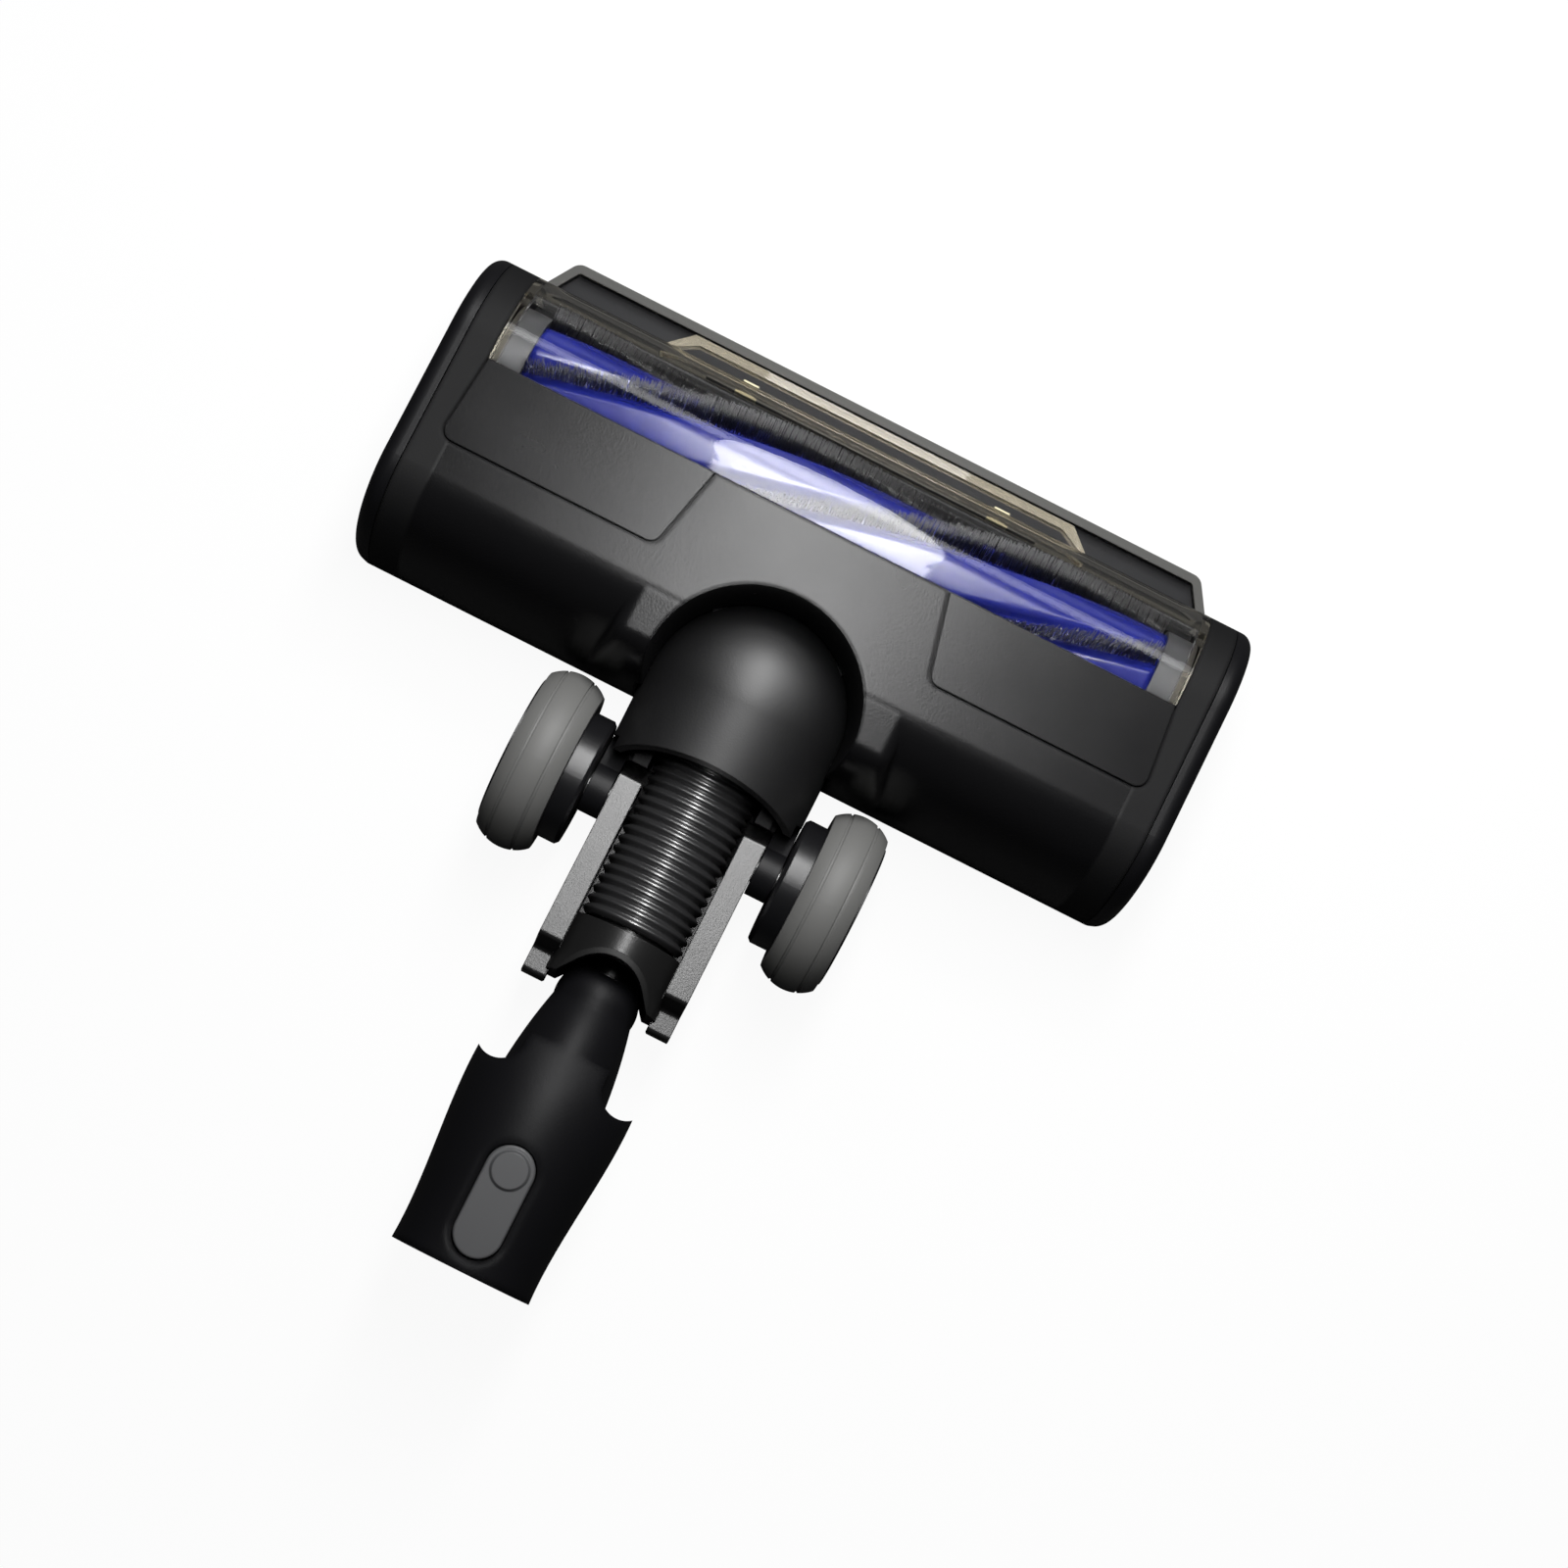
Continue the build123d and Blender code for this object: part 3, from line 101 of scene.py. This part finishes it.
# Patches of painted shade on the paper: middle and half size across the head, then from back to
# front.
MOUTH_SHADE = (0.0, 0.108, ROLL.y, 0.034)
HOSE_SHADE = (0.016, 0.0035, AXLE.y - 0.0055, 0.004)
COVER_SHADE = (0.0, 0.135, ROLL.y + 0.04, 0.11)
KEY_PLACE = (-0.014, 0.375, 0.575)
KEY_LEAN = math.radians(10)
KEY_SIZE = (0.124, 0.66)
KEY_POWER = 4.6
STRIP_PLACE = (0, 0.62, 0.66)
STRIP_LEAN = math.radians(43)
STRIP_SIZE = (1.2, 0.14)
STRIP_POWER = 2.6


def feed(tree, value, socket):
    """Link a socket to an input, or put a plain value in it."""
    if isinstance(value, bpy.types.NodeSocket):
        tree.links.new(value, socket)
    else:
        socket.default_value = value


def object_axes(tree):
    """Outputs X, Y and Z with a point's place in the shared frame."""
    place = tree.nodes.new("ShaderNodeTexCoord")
    axes = tree.nodes.new("ShaderNodeSeparateXYZ")
    tree.links.new(place.outputs["Object"], axes.inputs["Vector"])
    return axes.outputs


def math_node(tree, operation, *values, clamp=False):
    """Output of a math node that takes sockets and numbers."""
    node = tree.nodes.new("ShaderNodeMath")
    node.operation = operation
    node.use_clamp = clamp
    for socket, value in zip(node.inputs, values):
        feed(tree, value, socket)
    return node.outputs[0]


def colour_mix(tree, mask, first, second):
    """Colour that goes from first to second as a mask goes from 0 to 1."""
    node = tree.nodes.new("ShaderNodeMix")
    node.data_type = "RGBA"
    node.inputs["A"].default_value = (*first, 1)
    node.inputs["B"].default_value = (*second, 1)
    tree.links.new(mask, node.inputs["Factor"])
    return node.outputs["Result"]


def shader_node(tree, kind, colour):
    """Output of a plain shader of one colour."""
    node = tree.nodes.new(kind)
    node.inputs["Color"].default_value = colour
    return node.outputs[0]


def shader_mix(tree, share, first, second):
    """Shader that goes from first to second as a share goes from 0 to 1."""
    node = tree.nodes.new("ShaderNodeMixShader")
    feed(tree, share, node.inputs["Fac"])
    tree.links.new(first, node.inputs[1])
    tree.links.new(second, node.inputs[2])
    return node.outputs[0]


def floor_patch(tree, axes, middle_x, half_x, middle_y, half_y):
    """Mask of a rectangle on the floor, the same on both sides of the head."""
    aside = math_node(tree, "ABSOLUTE", axes["X"])
    across = math_node(tree, "COMPARE", aside, middle_x, half_x)
    along = math_node(tree, "COMPARE", axes["Y"], middle_y, half_y)
    return math_node(tree, "MULTIPLY", across, along)


def softbox(name, place, lean, size, power):
    """Oval lamp before the head that faces down and leans towards it, in metres and watts."""
    data = bpy.data.lights.new(name, "AREA")
    data.shape = "ELLIPSE"
    data.size, data.size_y = size
    data.energy = power
    lamp = bpy.data.objects.new(name, data)
    lamp.matrix_world = Matrix.Translation(place) @ Matrix.Rotation(-lean, 4, "X")
    lamp.visible_camera = False
    scene.collection.objects.link(lamp)


paper_sheet = bmesh.new()
bmesh.ops.create_grid(
    paper_sheet,
    x_segments=1,
    y_segments=1,
    size=PAPER_HALF,
    matrix=Matrix.Translation((0, 0, -PAPER_DROP)),
)
floor_data = bpy.data.meshes.new("floor")
paper_sheet.to_mesh(floor_data)
paper_sheet.free()
floor = bpy.data.objects.new("floor", floor_data)
scene.collection.objects.link(floor)
floor_material = bpy.data.materials.new("floor_paper")
floor_material.use_nodes = True
tree = floor_material.node_tree
tree.nodes.clear()
floor_out = tree.nodes.new("ShaderNodeOutputMaterial")
light_path = tree.nodes.new("ShaderNodeLightPath").outputs
paper_axes = object_axes(tree)
under_mouth = floor_patch(tree, paper_axes, *MOUTH_SHADE)
under_hose = floor_patch(tree, paper_axes, *HOSE_SHADE)
under_cover = floor_patch(tree, paper_axes, *COVER_SHADE)
under_head = math_node(tree, "MAXIMUM", under_mouth, under_hose)
seen_open = math_node(tree, "SUBTRACT", light_path["Is Camera Ray"], under_head, clamp=True)
seen_through = math_node(
    tree, "SUBTRACT", light_path["Is Transmission Ray"], under_cover, clamp=True
)
in_view = math_node(tree, "MAXIMUM", seen_open, seen_through)
paper = shader_node(tree, "ShaderNodeBsdfDiffuse", PAPER_WHITE)
glow = shader_node(tree, "ShaderNodeEmission", PAPER_WHITE)
# Painted shade: dim paper in place of white under the head and, seen through the cover, before
# it.
painted_shade = shader_node(tree, "ShaderNodeBsdfDiffuse", PAPER_PAINTED_SHADE)
lit_paper = shader_mix(tree, PAPER_LIT, paper, glow)
seen = shader_mix(tree, in_view, painted_shade, lit_paper)
tree.links.new(seen, floor_out.inputs["Surface"])
floor.data.materials.append(floor_material)

world = bpy.data.worlds.new("studio")
scene.world = world
world.use_nodes = True
tree = world.node_tree
tree.nodes.clear()
world_out = tree.nodes.new("ShaderNodeOutputWorld")
sky = tree.nodes.new("ShaderNodeBackground")
sky.inputs["Strength"].default_value = 1.0
sky_path = tree.nodes.new("ShaderNodeLightPath").outputs
sky_colour = colour_mix(tree, sky_path["Is Camera Ray"], ROOM_DARK, HORIZON)
tree.links.new(sky_colour, sky.inputs["Color"])
tree.links.new(sky.outputs[0], world_out.inputs["Surface"])

softbox("key_softbox", KEY_PLACE, KEY_LEAN, KEY_SIZE, KEY_POWER)
softbox("front_strip", STRIP_PLACE, STRIP_LEAN, STRIP_SIZE, STRIP_POWER)

# Shared finishes: a fine moulded grain for the black plastics, given as a bump height and a
# roughness change, and a helper that turns a colour into a moulded plastic.
GRAIN_SCALE = 1700.0
GRAIN_DETAIL = 2.0
GRAIN_HEIGHT = 0.0001
CLOUD_SCALE = 45.0
CLOUD_DETAIL = 4.0
GLOSS_SPREAD = 0.04
EDGE_SAMPLES = 4
cad = frame["nodes"]
grain_group = bpy.data.node_groups.new("moulded_grain", "ShaderNodeTree")
grain_group.interface.new_socket("Height", in_out="OUTPUT", socket_type="NodeSocketFloat")
grain_group.interface.new_socket("Cloud", in_out="OUTPUT", socket_type="NodeSocketFloat")
grain_out = grain_group.nodes.new("NodeGroupOutput")
grain_place = grain_group.nodes.new("ShaderNodeTexCoord")
for output, scale, detail in (
    ("Height", GRAIN_SCALE, GRAIN_DETAIL),
    ("Cloud", CLOUD_SCALE, CLOUD_DETAIL),
):
    noise = grain_group.nodes.new("ShaderNodeTexNoise")
    noise.inputs["Scale"].default_value = scale
    noise.inputs["Detail"].default_value = detail
    grain_group.links.new(grain_place.outputs["Object"], noise.inputs["Vector"])
    grain_group.links.new(noise.outputs["Fac"], grain_out.inputs[output])


def map_range(tree, value, start, end, low=0.0, high=1.0):
    """Output that goes from low to high as a value goes from start to end."""
    node = tree.nodes.new("ShaderNodeMapRange")
    tree.links.new(value, node.inputs["Value"])
    node.inputs["From Min"].default_value = start
    node.inputs["From Max"].default_value = end
    node.inputs["To Min"].default_value = low
    node.inputs["To Max"].default_value = high
    return node.outputs["Result"]


def shader_input(material, name):
    """Input of a material's Principled shader."""
    return material.node_tree.nodes["Principled BSDF"].inputs[name]


def moulded(name, colour, roughness, grain=0.25, edge=0.0005, specular=0.5, metallic=0.0):
    """Plastic, rubber or metal with a fine grain, a little uneven gloss and softened edges."""
    material = bpy.data.materials.new(name)
    material.use_nodes = True
    tree = material.node_tree
    shader_input(material, "Base Color").default_value = (*colour, 1)
    shader_input(material, "Specular IOR Level").default_value = specular
    shader_input(material, "Metallic").default_value = metallic
    group = tree.nodes.new("ShaderNodeGroup")
    group.node_tree = grain_group
    gloss = map_range(
        tree,
        group.outputs["Cloud"],
        0.0,
        1.0,
        low=roughness - GLOSS_SPREAD,
        high=roughness + GLOSS_SPREAD,
    )
    tree.links.new(gloss, shader_input(material, "Roughness"))
    rounded = tree.nodes.new("ShaderNodeBevel")
    rounded.samples = EDGE_SAMPLES
    rounded.inputs["Radius"].default_value = edge
    bump = tree.nodes.new("ShaderNodeBump")
    bump.inputs["Strength"].default_value = grain
    bump.inputs["Distance"].default_value = GRAIN_HEIGHT
    tree.links.new(group.outputs["Height"], bump.inputs["Height"])
    tree.links.new(rounded.outputs["Normal"], bump.inputs["Normal"])
    tree.links.new(bump.outputs["Normal"], shader_input(material, "Normal"))
    return material


def finish(material, *names):
    """Give CAD nodes a material through their slots."""
    for name in names:
        slots = cad[name].material_slots
        if slots:
            for slot in slots:
                slot.material = material
        else:
            cad[name].data.materials.append(material)


# Upper housing, top panels and end caps: injection-moulded ABS with a satin spark-eroded grain,
# the panels glued into shallow seats and the caps clipped over the ends. The shell is duller in
# a band beside each cap.
END_BAND = 0.1095
BAND_EASE = 0.0006
BAND_DULL = 0.45
SHELL_BLACK = (0.006, 0.006, 0.0065)
housing_black = moulded("housing_black", SHELL_BLACK, 0.258, edge=0.0018, specular=0.27)
panel_black = moulded("panel_black", SHELL_BLACK, 0.258, specular=0.28)
cap_black = moulded("cap_black", (0.006, 0.006, 0.007), 0.42, grain=0.15, specular=0.25)
tree = housing_black.node_tree
shell_gloss = shader_input(housing_black, "Roughness")
shell_across = math_node(tree, "ABSOLUTE", object_axes(tree)["X"])
on_band = map_range(
    tree, shell_across, END_BAND - BAND_EASE, END_BAND + BAND_EASE, high=BAND_DULL
)
band_gloss = math_node(tree, "ADD", shell_gloss.links[0].from_socket, on_band)
tree.links.new(band_gloss, shell_gloss)
finish(housing_black, "upper_housing")
finish(panel_black, "left_top_panel", "right_top_panel")
finish(cap_black, "left_end_cap", "right_end_cap")

# Lower housing, duct and hinge frame: plain black moulded polypropylene, mostly hidden,
# screwed up into the upper shell.
sole_black = moulded("sole_black", (0.007, 0.007, 0.008), 0.45, specular=0.2)
finish(sole_black, "lower_housing", "suction_duct", "hinge_frame")

# Front bumper: dark grey moulded tray with a raised rim, clipped on the front bar of the sole.
# The floor of the tray is painted darker than its rim, as painted shade in the recess.
RIM_DEPTH = 0.002
RIM_GREY = (0.08, 0.08, 0.076)
TRAY_PAINTED_SHADE = (0.008, 0.0083, 0.010)
bumper_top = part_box("front_bumper")[1][2]
bumper_grey = moulded("bumper_grey", RIM_GREY, 0.5, specular=0.2)
tree = bumper_grey.node_tree
on_rim = map_range(
    tree, object_axes(tree)["Z"], bumper_top - RIM_DEPTH, bumper_top - RIM_DEPTH / 2
)
# Painted shade: the tray's floor, below the rim, takes the dark colour.
rim_grey_and_painted_shade = colour_mix(tree, on_rim, TRAY_PAINTED_SHADE, RIM_GREY)
tree.links.new(rim_grey_and_painted_shade, shader_input(bumper_grey, "Base Color"))
finish(bumper_grey, "front_bumper")

# Clear front cover: polished polycarbonate window; its cut edges carry a painted tan tint for
# the light that travels along the sheet, and the walls of its visor carry painted tan light, a
# share of tan diffuse. It clips into the housing's window.
COVER_RADIUS = 0.028
COVER_RIM = 0.0023
COVER_WALL = 0.002
COVER_GLOSS = 0.03
COVER_IOR = 1.27
COVER_CLEAR = (0.9, 0.9, 0.9)
COVER_PAINTED_EDGE_TAN = (0.82, 0.77, 0.66)
COVER_SHADOW = (0.85, 0.85, 0.85, 1)
VISOR_STEP = 0.0003
VISOR_PAINTED_SHARE = 0.3
VISOR_PAINTED_TAN = (0.5, 0.46, 0.37, 1)
cover_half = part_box("front_cover")[1][0]
nose_y = ROLL.y + COVER_RADIUS
clear = bpy.data.materials.new("cover_clear")
clear.use_nodes = True
tree = clear.node_tree
shader_input(clear, "Roughness").default_value = COVER_GLOSS
shader_input(clear, "IOR").default_value = COVER_IOR
shader_input(clear, "Transmission Weight").default_value = 1.0
cover_axes = object_axes(tree)
cover_across = math_node(tree, "ABSOLUTE", cover_axes["X"])
at_ends = math_node(tree, "GREATER_THAN", cover_across, cover_half - COVER_RIM)
at_front = math_node(tree, "GREATER_THAN", cover_axes["Y"], nose_y - COVER_WALL)
at_edges = math_node(tree, "MAXIMUM", at_ends, at_front)
# Painted light: a tan tint at the cut edges for the light that travels along the sheet.
cover_painted_edge_tint = colour_mix(tree, at_edges, COVER_CLEAR, COVER_PAINTED_EDGE_TAN)
tree.links.new(cover_painted_edge_tint, shader_input(clear, "Base Color"))
# Painted light: a share of tan diffuse on the visor walls, for the tan lines of light refracted
# along them.
at_visor = math_node(tree, "GREATER_THAN", cover_axes["Y"], nose_y + VISOR_STEP)
visor_painted_part = math_node(tree, "MULTIPLY", at_visor, VISOR_PAINTED_SHARE)
visor_painted_light = shader_node(tree, "ShaderNodeBsdfDiffuse", VISOR_PAINTED_TAN)
cover_body = shader_mix(
    tree, visor_painted_part, tree.nodes["Principled BSDF"].outputs[0], visor_painted_light
)
shadow_path = tree.nodes.new("ShaderNodeLightPath").outputs
pass_light = shader_node(tree, "ShaderNodeBsdfTransparent", COVER_SHADOW)
cover_mix = shader_mix(tree, shadow_path["Is Shadow Ray"], cover_body, pass_light)
tree.links.new(cover_mix, tree.nodes["Material Output"].inputs["Surface"])
finish(clear, "front_cover")

# Headlight and control boards: glass-fibre boards with soldered parts, screwed to the sole and
# the front bar; the dark headlight board carries two pale yellow lamp chips.
CHIP_PLACE = 0.042
CHIP_HALF = 0.0035
CHIP_YELLOW = (0.6, 0.55, 0.35)
BOARD_DARK = (0.012, 0.012, 0.012)
board_green = moulded("board_green", (0.02, 0.09, 0.04), 0.35)
finish(board_green, "control_board")
lamp_board = moulded("lamp_board", BOARD_DARK, 0.35)
tree = lamp_board.node_tree
chip_across = math_node(tree, "ABSOLUTE", object_axes(tree)["X"])
on_chip = math_node(tree, "COMPARE", chip_across, CHIP_PLACE, CHIP_HALF)
chip_colour = colour_mix(tree, on_chip, BOARD_DARK, CHIP_YELLOW)
tree.links.new(chip_colour, shader_input(lamp_board, "Base Color"))
finish(lamp_board, "headlight_board")

# Brush roll: a blue moulded core with broad helical lands between the channels for the bristles,
# and grey end sleeves pressed over its ends. It turns on a steel axle.
ROLL_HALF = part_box("roller_core")[1][0]
ROW_COUNT = 5
ROW_STEP = math.tau / ROW_COUNT
ROW_START = math.radians(88.2)
ROW_TWIST = math.radians(-842.0)
CHANNEL_RADIUS = 0.0152
LAND_RADIUS = 0.0174
CHANNEL_PART = 0.2
CHANNEL_EASE = 0.3
ROLL_SIDES = 150
ROLL_RINGS = 120


def core_radius(angle):
    """Radius of the core at an angle from a bristle channel: a channel, then a crowned land."""
    away = abs((angle + ROW_STEP / 2) % ROW_STEP - ROW_STEP / 2) / (ROW_STEP / 2)
    rise = min(1.0, max(0.0, (away - CHANNEL_PART) / CHANNEL_EASE))
    return CHANNEL_RADIUS + (LAND_RADIUS - CHANNEL_RADIUS) * math.sin(rise * math.pi / 2)


def finished_piece(name, mesh_edit, material, smooth=True):
    """Object at the origin from a finished bmesh, faces outwards, with one material."""
    bmesh.ops.recalc_face_normals(mesh_edit, faces=mesh_edit.faces)
    for face in mesh_edit.faces:
        face.smooth = smooth
    mesh = bpy.data.meshes.new(name)
    mesh_edit.to_mesh(mesh)
    mesh_edit.free()
    mesh.materials.append(material)
    piece = bpy.data.objects.new(name, mesh)
    scene.collection.objects.link(piece)
    return piece


brush_blue = moulded("brush_blue", (0.009, 0.013, 0.14), 0.2, grain=0.05)
core_edit = bmesh.new()
bmesh.ops.create_circle(core_edit, radius=1.0, segments=ROLL_SIDES)
for vert in core_edit.verts:
    vert.co *= core_radius(math.atan2(vert.co.y, vert.co.x))
to_end = (
    Matrix.Translation((-ROLL_HALF, ROLL.y, ROLL.z))
    @ Matrix.Rotation(ROW_START + math.pi / 2, 4, "X")
    @ Matrix.Rotation(math.pi / 2, 4, "Y")
)
bmesh.ops.transform(core_edit, matrix=to_end, verts=core_edit.verts)
bmesh.ops.spin(
    core_edit,
    geom=core_edit.verts[:] + core_edit.edges[:],
    cent=ROLL,
    axis=(1, 0, 0),
    dvec=(2 * ROLL_HALF / ROLL_RINGS, 0, 0),
    angle=ROW_TWIST * 2 * ROLL_HALF,
    steps=ROLL_RINGS,
)
bmesh.ops.holes_fill(core_edit, edges=core_edit.edges, sides=0)
core = finished_piece("brush_core", core_edit, brush_blue)
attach(core, "brush_roll")
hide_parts("roller_core")

sleeve_grey = moulded("sleeve_grey", (0.042, 0.043, 0.045), 0.4)
finish(sleeve_grey, "left_roller_sleeve", "right_roller_sleeve")

# Bristle rows: stiff nylon bristles stapled in tufts along the channels of the roll,
# each a thin tapered strand that leans a little its own way.
STRAND_PITCH = 0.0008
STRANDS_ACROSS = 6
STRAND_SIDES = 3
STRAND_ROOT = 0.00020
STRAND_TIP = 0.00012
STRAND_SEAT = 0.0153
STRAND_SEED = 7
BRISTLE_REACH = 0.0238
ROW_WIDTH = 0.003
UNEVEN_CUT = 0.0008
UNEVEN_PITCH = 0.0003
LEAN_ACROSS = 0.0007
LEAN_ALONG = 0.0006
bristle_black = moulded("bristle_black", (0.042, 0.042, 0.045), 0.3, grain=0.0, specular=1.0)
strand_edit = bmesh.new()
bmesh.ops.create_cone(
    strand_edit,
    cap_ends=True,
    segments=STRAND_SIDES,
    radius1=STRAND_ROOT,
    radius2=STRAND_TIP,
    depth=1.0,
)
strand_mesh = bpy.data.meshes.new("strand")
strand_edit.to_mesh(strand_mesh)
strand_edit.free()
draw = random.Random(STRAND_SEED)
bristle_edit = bmesh.new()
for row in range(ROW_COUNT):
    for number in range(int(2 * ROLL_HALF / STRAND_PITCH)):
        x = -ROLL_HALF + (number + 0.5) * STRAND_PITCH
        angle = ROW_START + row * ROW_STEP + ROW_TWIST * (x + ROLL_HALF)
        out = Vector((0, math.cos(angle), math.sin(angle)))
        across = Vector((0, -math.sin(angle), math.cos(angle)))
        for strand in range(STRANDS_ACROSS):
            shift = ((strand + 0.5) / STRANDS_ACROSS - 0.5) * ROW_WIDTH
            root = Vector((x + draw.uniform(-UNEVEN_PITCH, UNEVEN_PITCH), ROLL.y, ROLL.z))
            root += out * STRAND_SEAT + across * shift
            reach = out * (BRISTLE_REACH - STRAND_SEAT - draw.uniform(0, UNEVEN_CUT))
            reach += across * draw.uniform(-LEAN_ACROSS, LEAN_ACROSS)
            reach.x += draw.uniform(-LEAN_ALONG, LEAN_ALONG)
            turn = reach.to_track_quat("Z", "Y").to_matrix().to_4x4()
            stretch = Matrix.Scale(reach.length, 4, (0, 0, 1))
            place = Matrix.Translation(root + reach / 2) @ turn @ stretch
            strand_mesh.transform(place)
            bristle_edit.from_mesh(strand_mesh)
            strand_mesh.transform(place.inverted())
bpy.data.meshes.remove(strand_mesh)
bristles = finished_piece("bristle_strands", bristle_edit, bristle_black)
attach(bristles, "brush_roll")
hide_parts("bristle_rows")

# Shafts, bearings and drive in the head: steel pins and rings, natural moulded pulley,
# plated motor can and a flat rubber belt. The same steel serves the neck's pin and the screws.
pin_steel = moulded("pin_steel", (0.55, 0.55, 0.55), 0.3, grain=0.05, metallic=1.0)
pulley_cream = moulded("pulley_cream", (0.45, 0.44, 0.4), 0.4)
motor_can = moulded("motor_can", (0.4, 0.4, 0.4), 0.35, grain=0.05, metallic=1.0)
belt_black = moulded("belt_black", (0.015, 0.015, 0.015), 0.7)
finish(pin_steel, "roller_axle", "left_roller_bearing", "right_roller_bearing", "motor_pulley")
finish(pin_steel, "swivel_pin", "sole_screws")
finish(pulley_cream, "driven_pulley")
finish(motor_can, "drive_motor")
finish(belt_black, "drive_belt")

# Hood: black moulded dome over the duct, satin like the shell but a little duller,
# screwed to the sole behind the brush chamber.
hood_black = moulded("hood_black", SHELL_BLACK, 0.47, specular=0.75)
finish(hood_black, "duct_hood")

# Wheels: grey soft tyres pressed on black moulded hubs, closed by hub caps.
# They turn on plated stub axles in the ears of the hinge frame.
tyre_grey = moulded("tyre_grey", (0.152, 0.152, 0.147), 0.55, grain=0.15)
hub_black = moulded("hub_black", (0.008, 0.008, 0.009), 0.32, grain=0.1)
axle_grey = moulded("axle_grey", (0.2, 0.2, 0.2), 0.35, grain=0.05, metallic=0.6)
finish(tyre_grey, "left_tyre", "right_tyre")
finish(hub_black, "left_wheel_hub", "right_wheel_hub", "left_hub_cap", "right_hub_cap")
finish(axle_grey, "left_stub_axle", "right_stub_axle")

# Ribbed hose: glossy blow-moulded black hose, pushed over the spigots of the duct and the yoke;
# it bends at the hinge line between them.
NECK_UP = Vector(joints["wand_swivel"]["axis"])
HOSE_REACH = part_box("ribbed_hose")[1][1] - AXLE.y
HOSE_TURN = math.atan2(NECK_UP.y, NECK_UP.z)
HOSE_BEND = HOSE_REACH / math.tan(HOSE_TURN / 2)
HOSE_RIBS = 21
HOSE_TIP = 0.0162
HOSE_ROOT = 0.0147
HOSE_BORE = 0.0127
HOSE_SIDES = 72
STEPS_PER_RIB = 8
RIB_FULLNESS = 0.7
HOSE_GLOSS_IOR = 1.8


def on_bend(part, radius, swing):
    """Point of the hose at a part of its length, a radius, and a swing round its middle."""
    turn = HOSE_TURN * part
    centre = Vector((0, AXLE.y + HOSE_REACH, AXLE.z + HOSE_BEND))
    inward = Vector((0, math.sin(turn), math.cos(turn)))
    aside = Vector((radius * math.cos(swing), 0, 0))
    return centre - inward * HOSE_BEND + inward * radius * math.sin(swing) + aside


hose_black = moulded("hose_black", (0.025, 0.025, 0.026), 0.3, grain=0.05, specular=1.0)
shader_input(hose_black, "IOR").default_value = HOSE_GLOSS_IOR
hose_edit = bmesh.new()
step_count = HOSE_RIBS * STEPS_PER_RIB
profile = []
for step in range(step_count + 1):
    wave = math.cos(math.tau * (step / STEPS_PER_RIB - 0.5))
    swell = max(0.0, 0.5 + 0.5 * wave) ** RIB_FULLNESS
    radius = HOSE_ROOT + (HOSE_TIP - HOSE_ROOT) * swell
    profile.append(hose_edit.verts.new((radius, 0, step / step_count)))
profile.append(hose_edit.verts.new((HOSE_BORE, 0, 1)))
profile.append(hose_edit.verts.new((HOSE_BORE, 0, 0)))
for vert, after in zip(profile, profile[1:] + profile[:1]):
    hose_edit.edges.new((vert, after))
bmesh.ops.spin(
    hose_edit,
    geom=hose_edit.verts[:] + hose_edit.edges[:],
    cent=(0, 0, 0),
    axis=(0, 0, 1),
    angle=math.tau,
    steps=HOSE_SIDES,
    use_merge=True,
)
for vert in hose_edit.verts:
    vert.co = on_bend(vert.co.z, vert.co.xy.length, math.atan2(vert.co.y, vert.co.x))
hose = finished_piece("hose_ribs", hose_edit, hose_black)
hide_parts("ribbed_hose")
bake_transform(hose)

# Neck: black moulded yoke with flat-topped arms on the stub axles, and a soft black seal
# pressed into its rim round the swivel ball.
yoke_black = moulded("yoke_black", (0.012, 0.012, 0.012), 0.3, specular=0.6)
seal_black = moulded("seal_black", (0.01, 0.01, 0.01), 0.55)
finish(yoke_black, "neck_yoke")
finish(seal_black, "rim_seal")

# Connector tube and release button: black moulded socket for the wand, a grey satin button in
# its own well, contacts in the lower wall of the socket.
tube_black = moulded("tube_black", (0.006, 0.006, 0.007), 0.46, edge=0.004, specular=0.15)
button_grey = moulded("button_grey", (0.075, 0.076, 0.079), 0.35, grain=0.08, specular=0.35)
terminal_black = moulded("terminal_black", (0.02, 0.02, 0.02), 0.5)
contact_brass = moulded("contact_brass", (0.6, 0.42, 0.15), 0.3, grain=0.0, metallic=1.0)
finish(tube_black, "connector_tube")
finish(button_grey, "release_button")
finish(terminal_black, "terminal_block")
finish(contact_brass, "contact_pins")

# Button leaf: an arched strip of spring steel that lies in the button's well, under the button.
LEAF_MERGE = 0.000001
leaf_edit = bmesh.new()
leaf_edit.from_mesh(cad["button_spring"].data)
bmesh.ops.remove_doubles(leaf_edit, verts=leaf_edit.verts, dist=LEAF_MERGE)
leaf = finished_piece("button_leaf", leaf_edit, pin_steel, smooth=False)
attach(leaf, "wand_tube")
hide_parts("button_spring")
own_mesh(leaf)

# Underside: red woven pile strip glued behind the mouth and grey low-friction glide pads
# pressed into the sole.
pile_red = moulded("pile_red", (0.1, 0.015, 0.015), 0.9, grain=0.8)
pad_grey = moulded("pad_grey", (0.1, 0.1, 0.1), 0.4)
finish(pile_red, "pile_strip")
finish(pad_grey, "glide_pads")
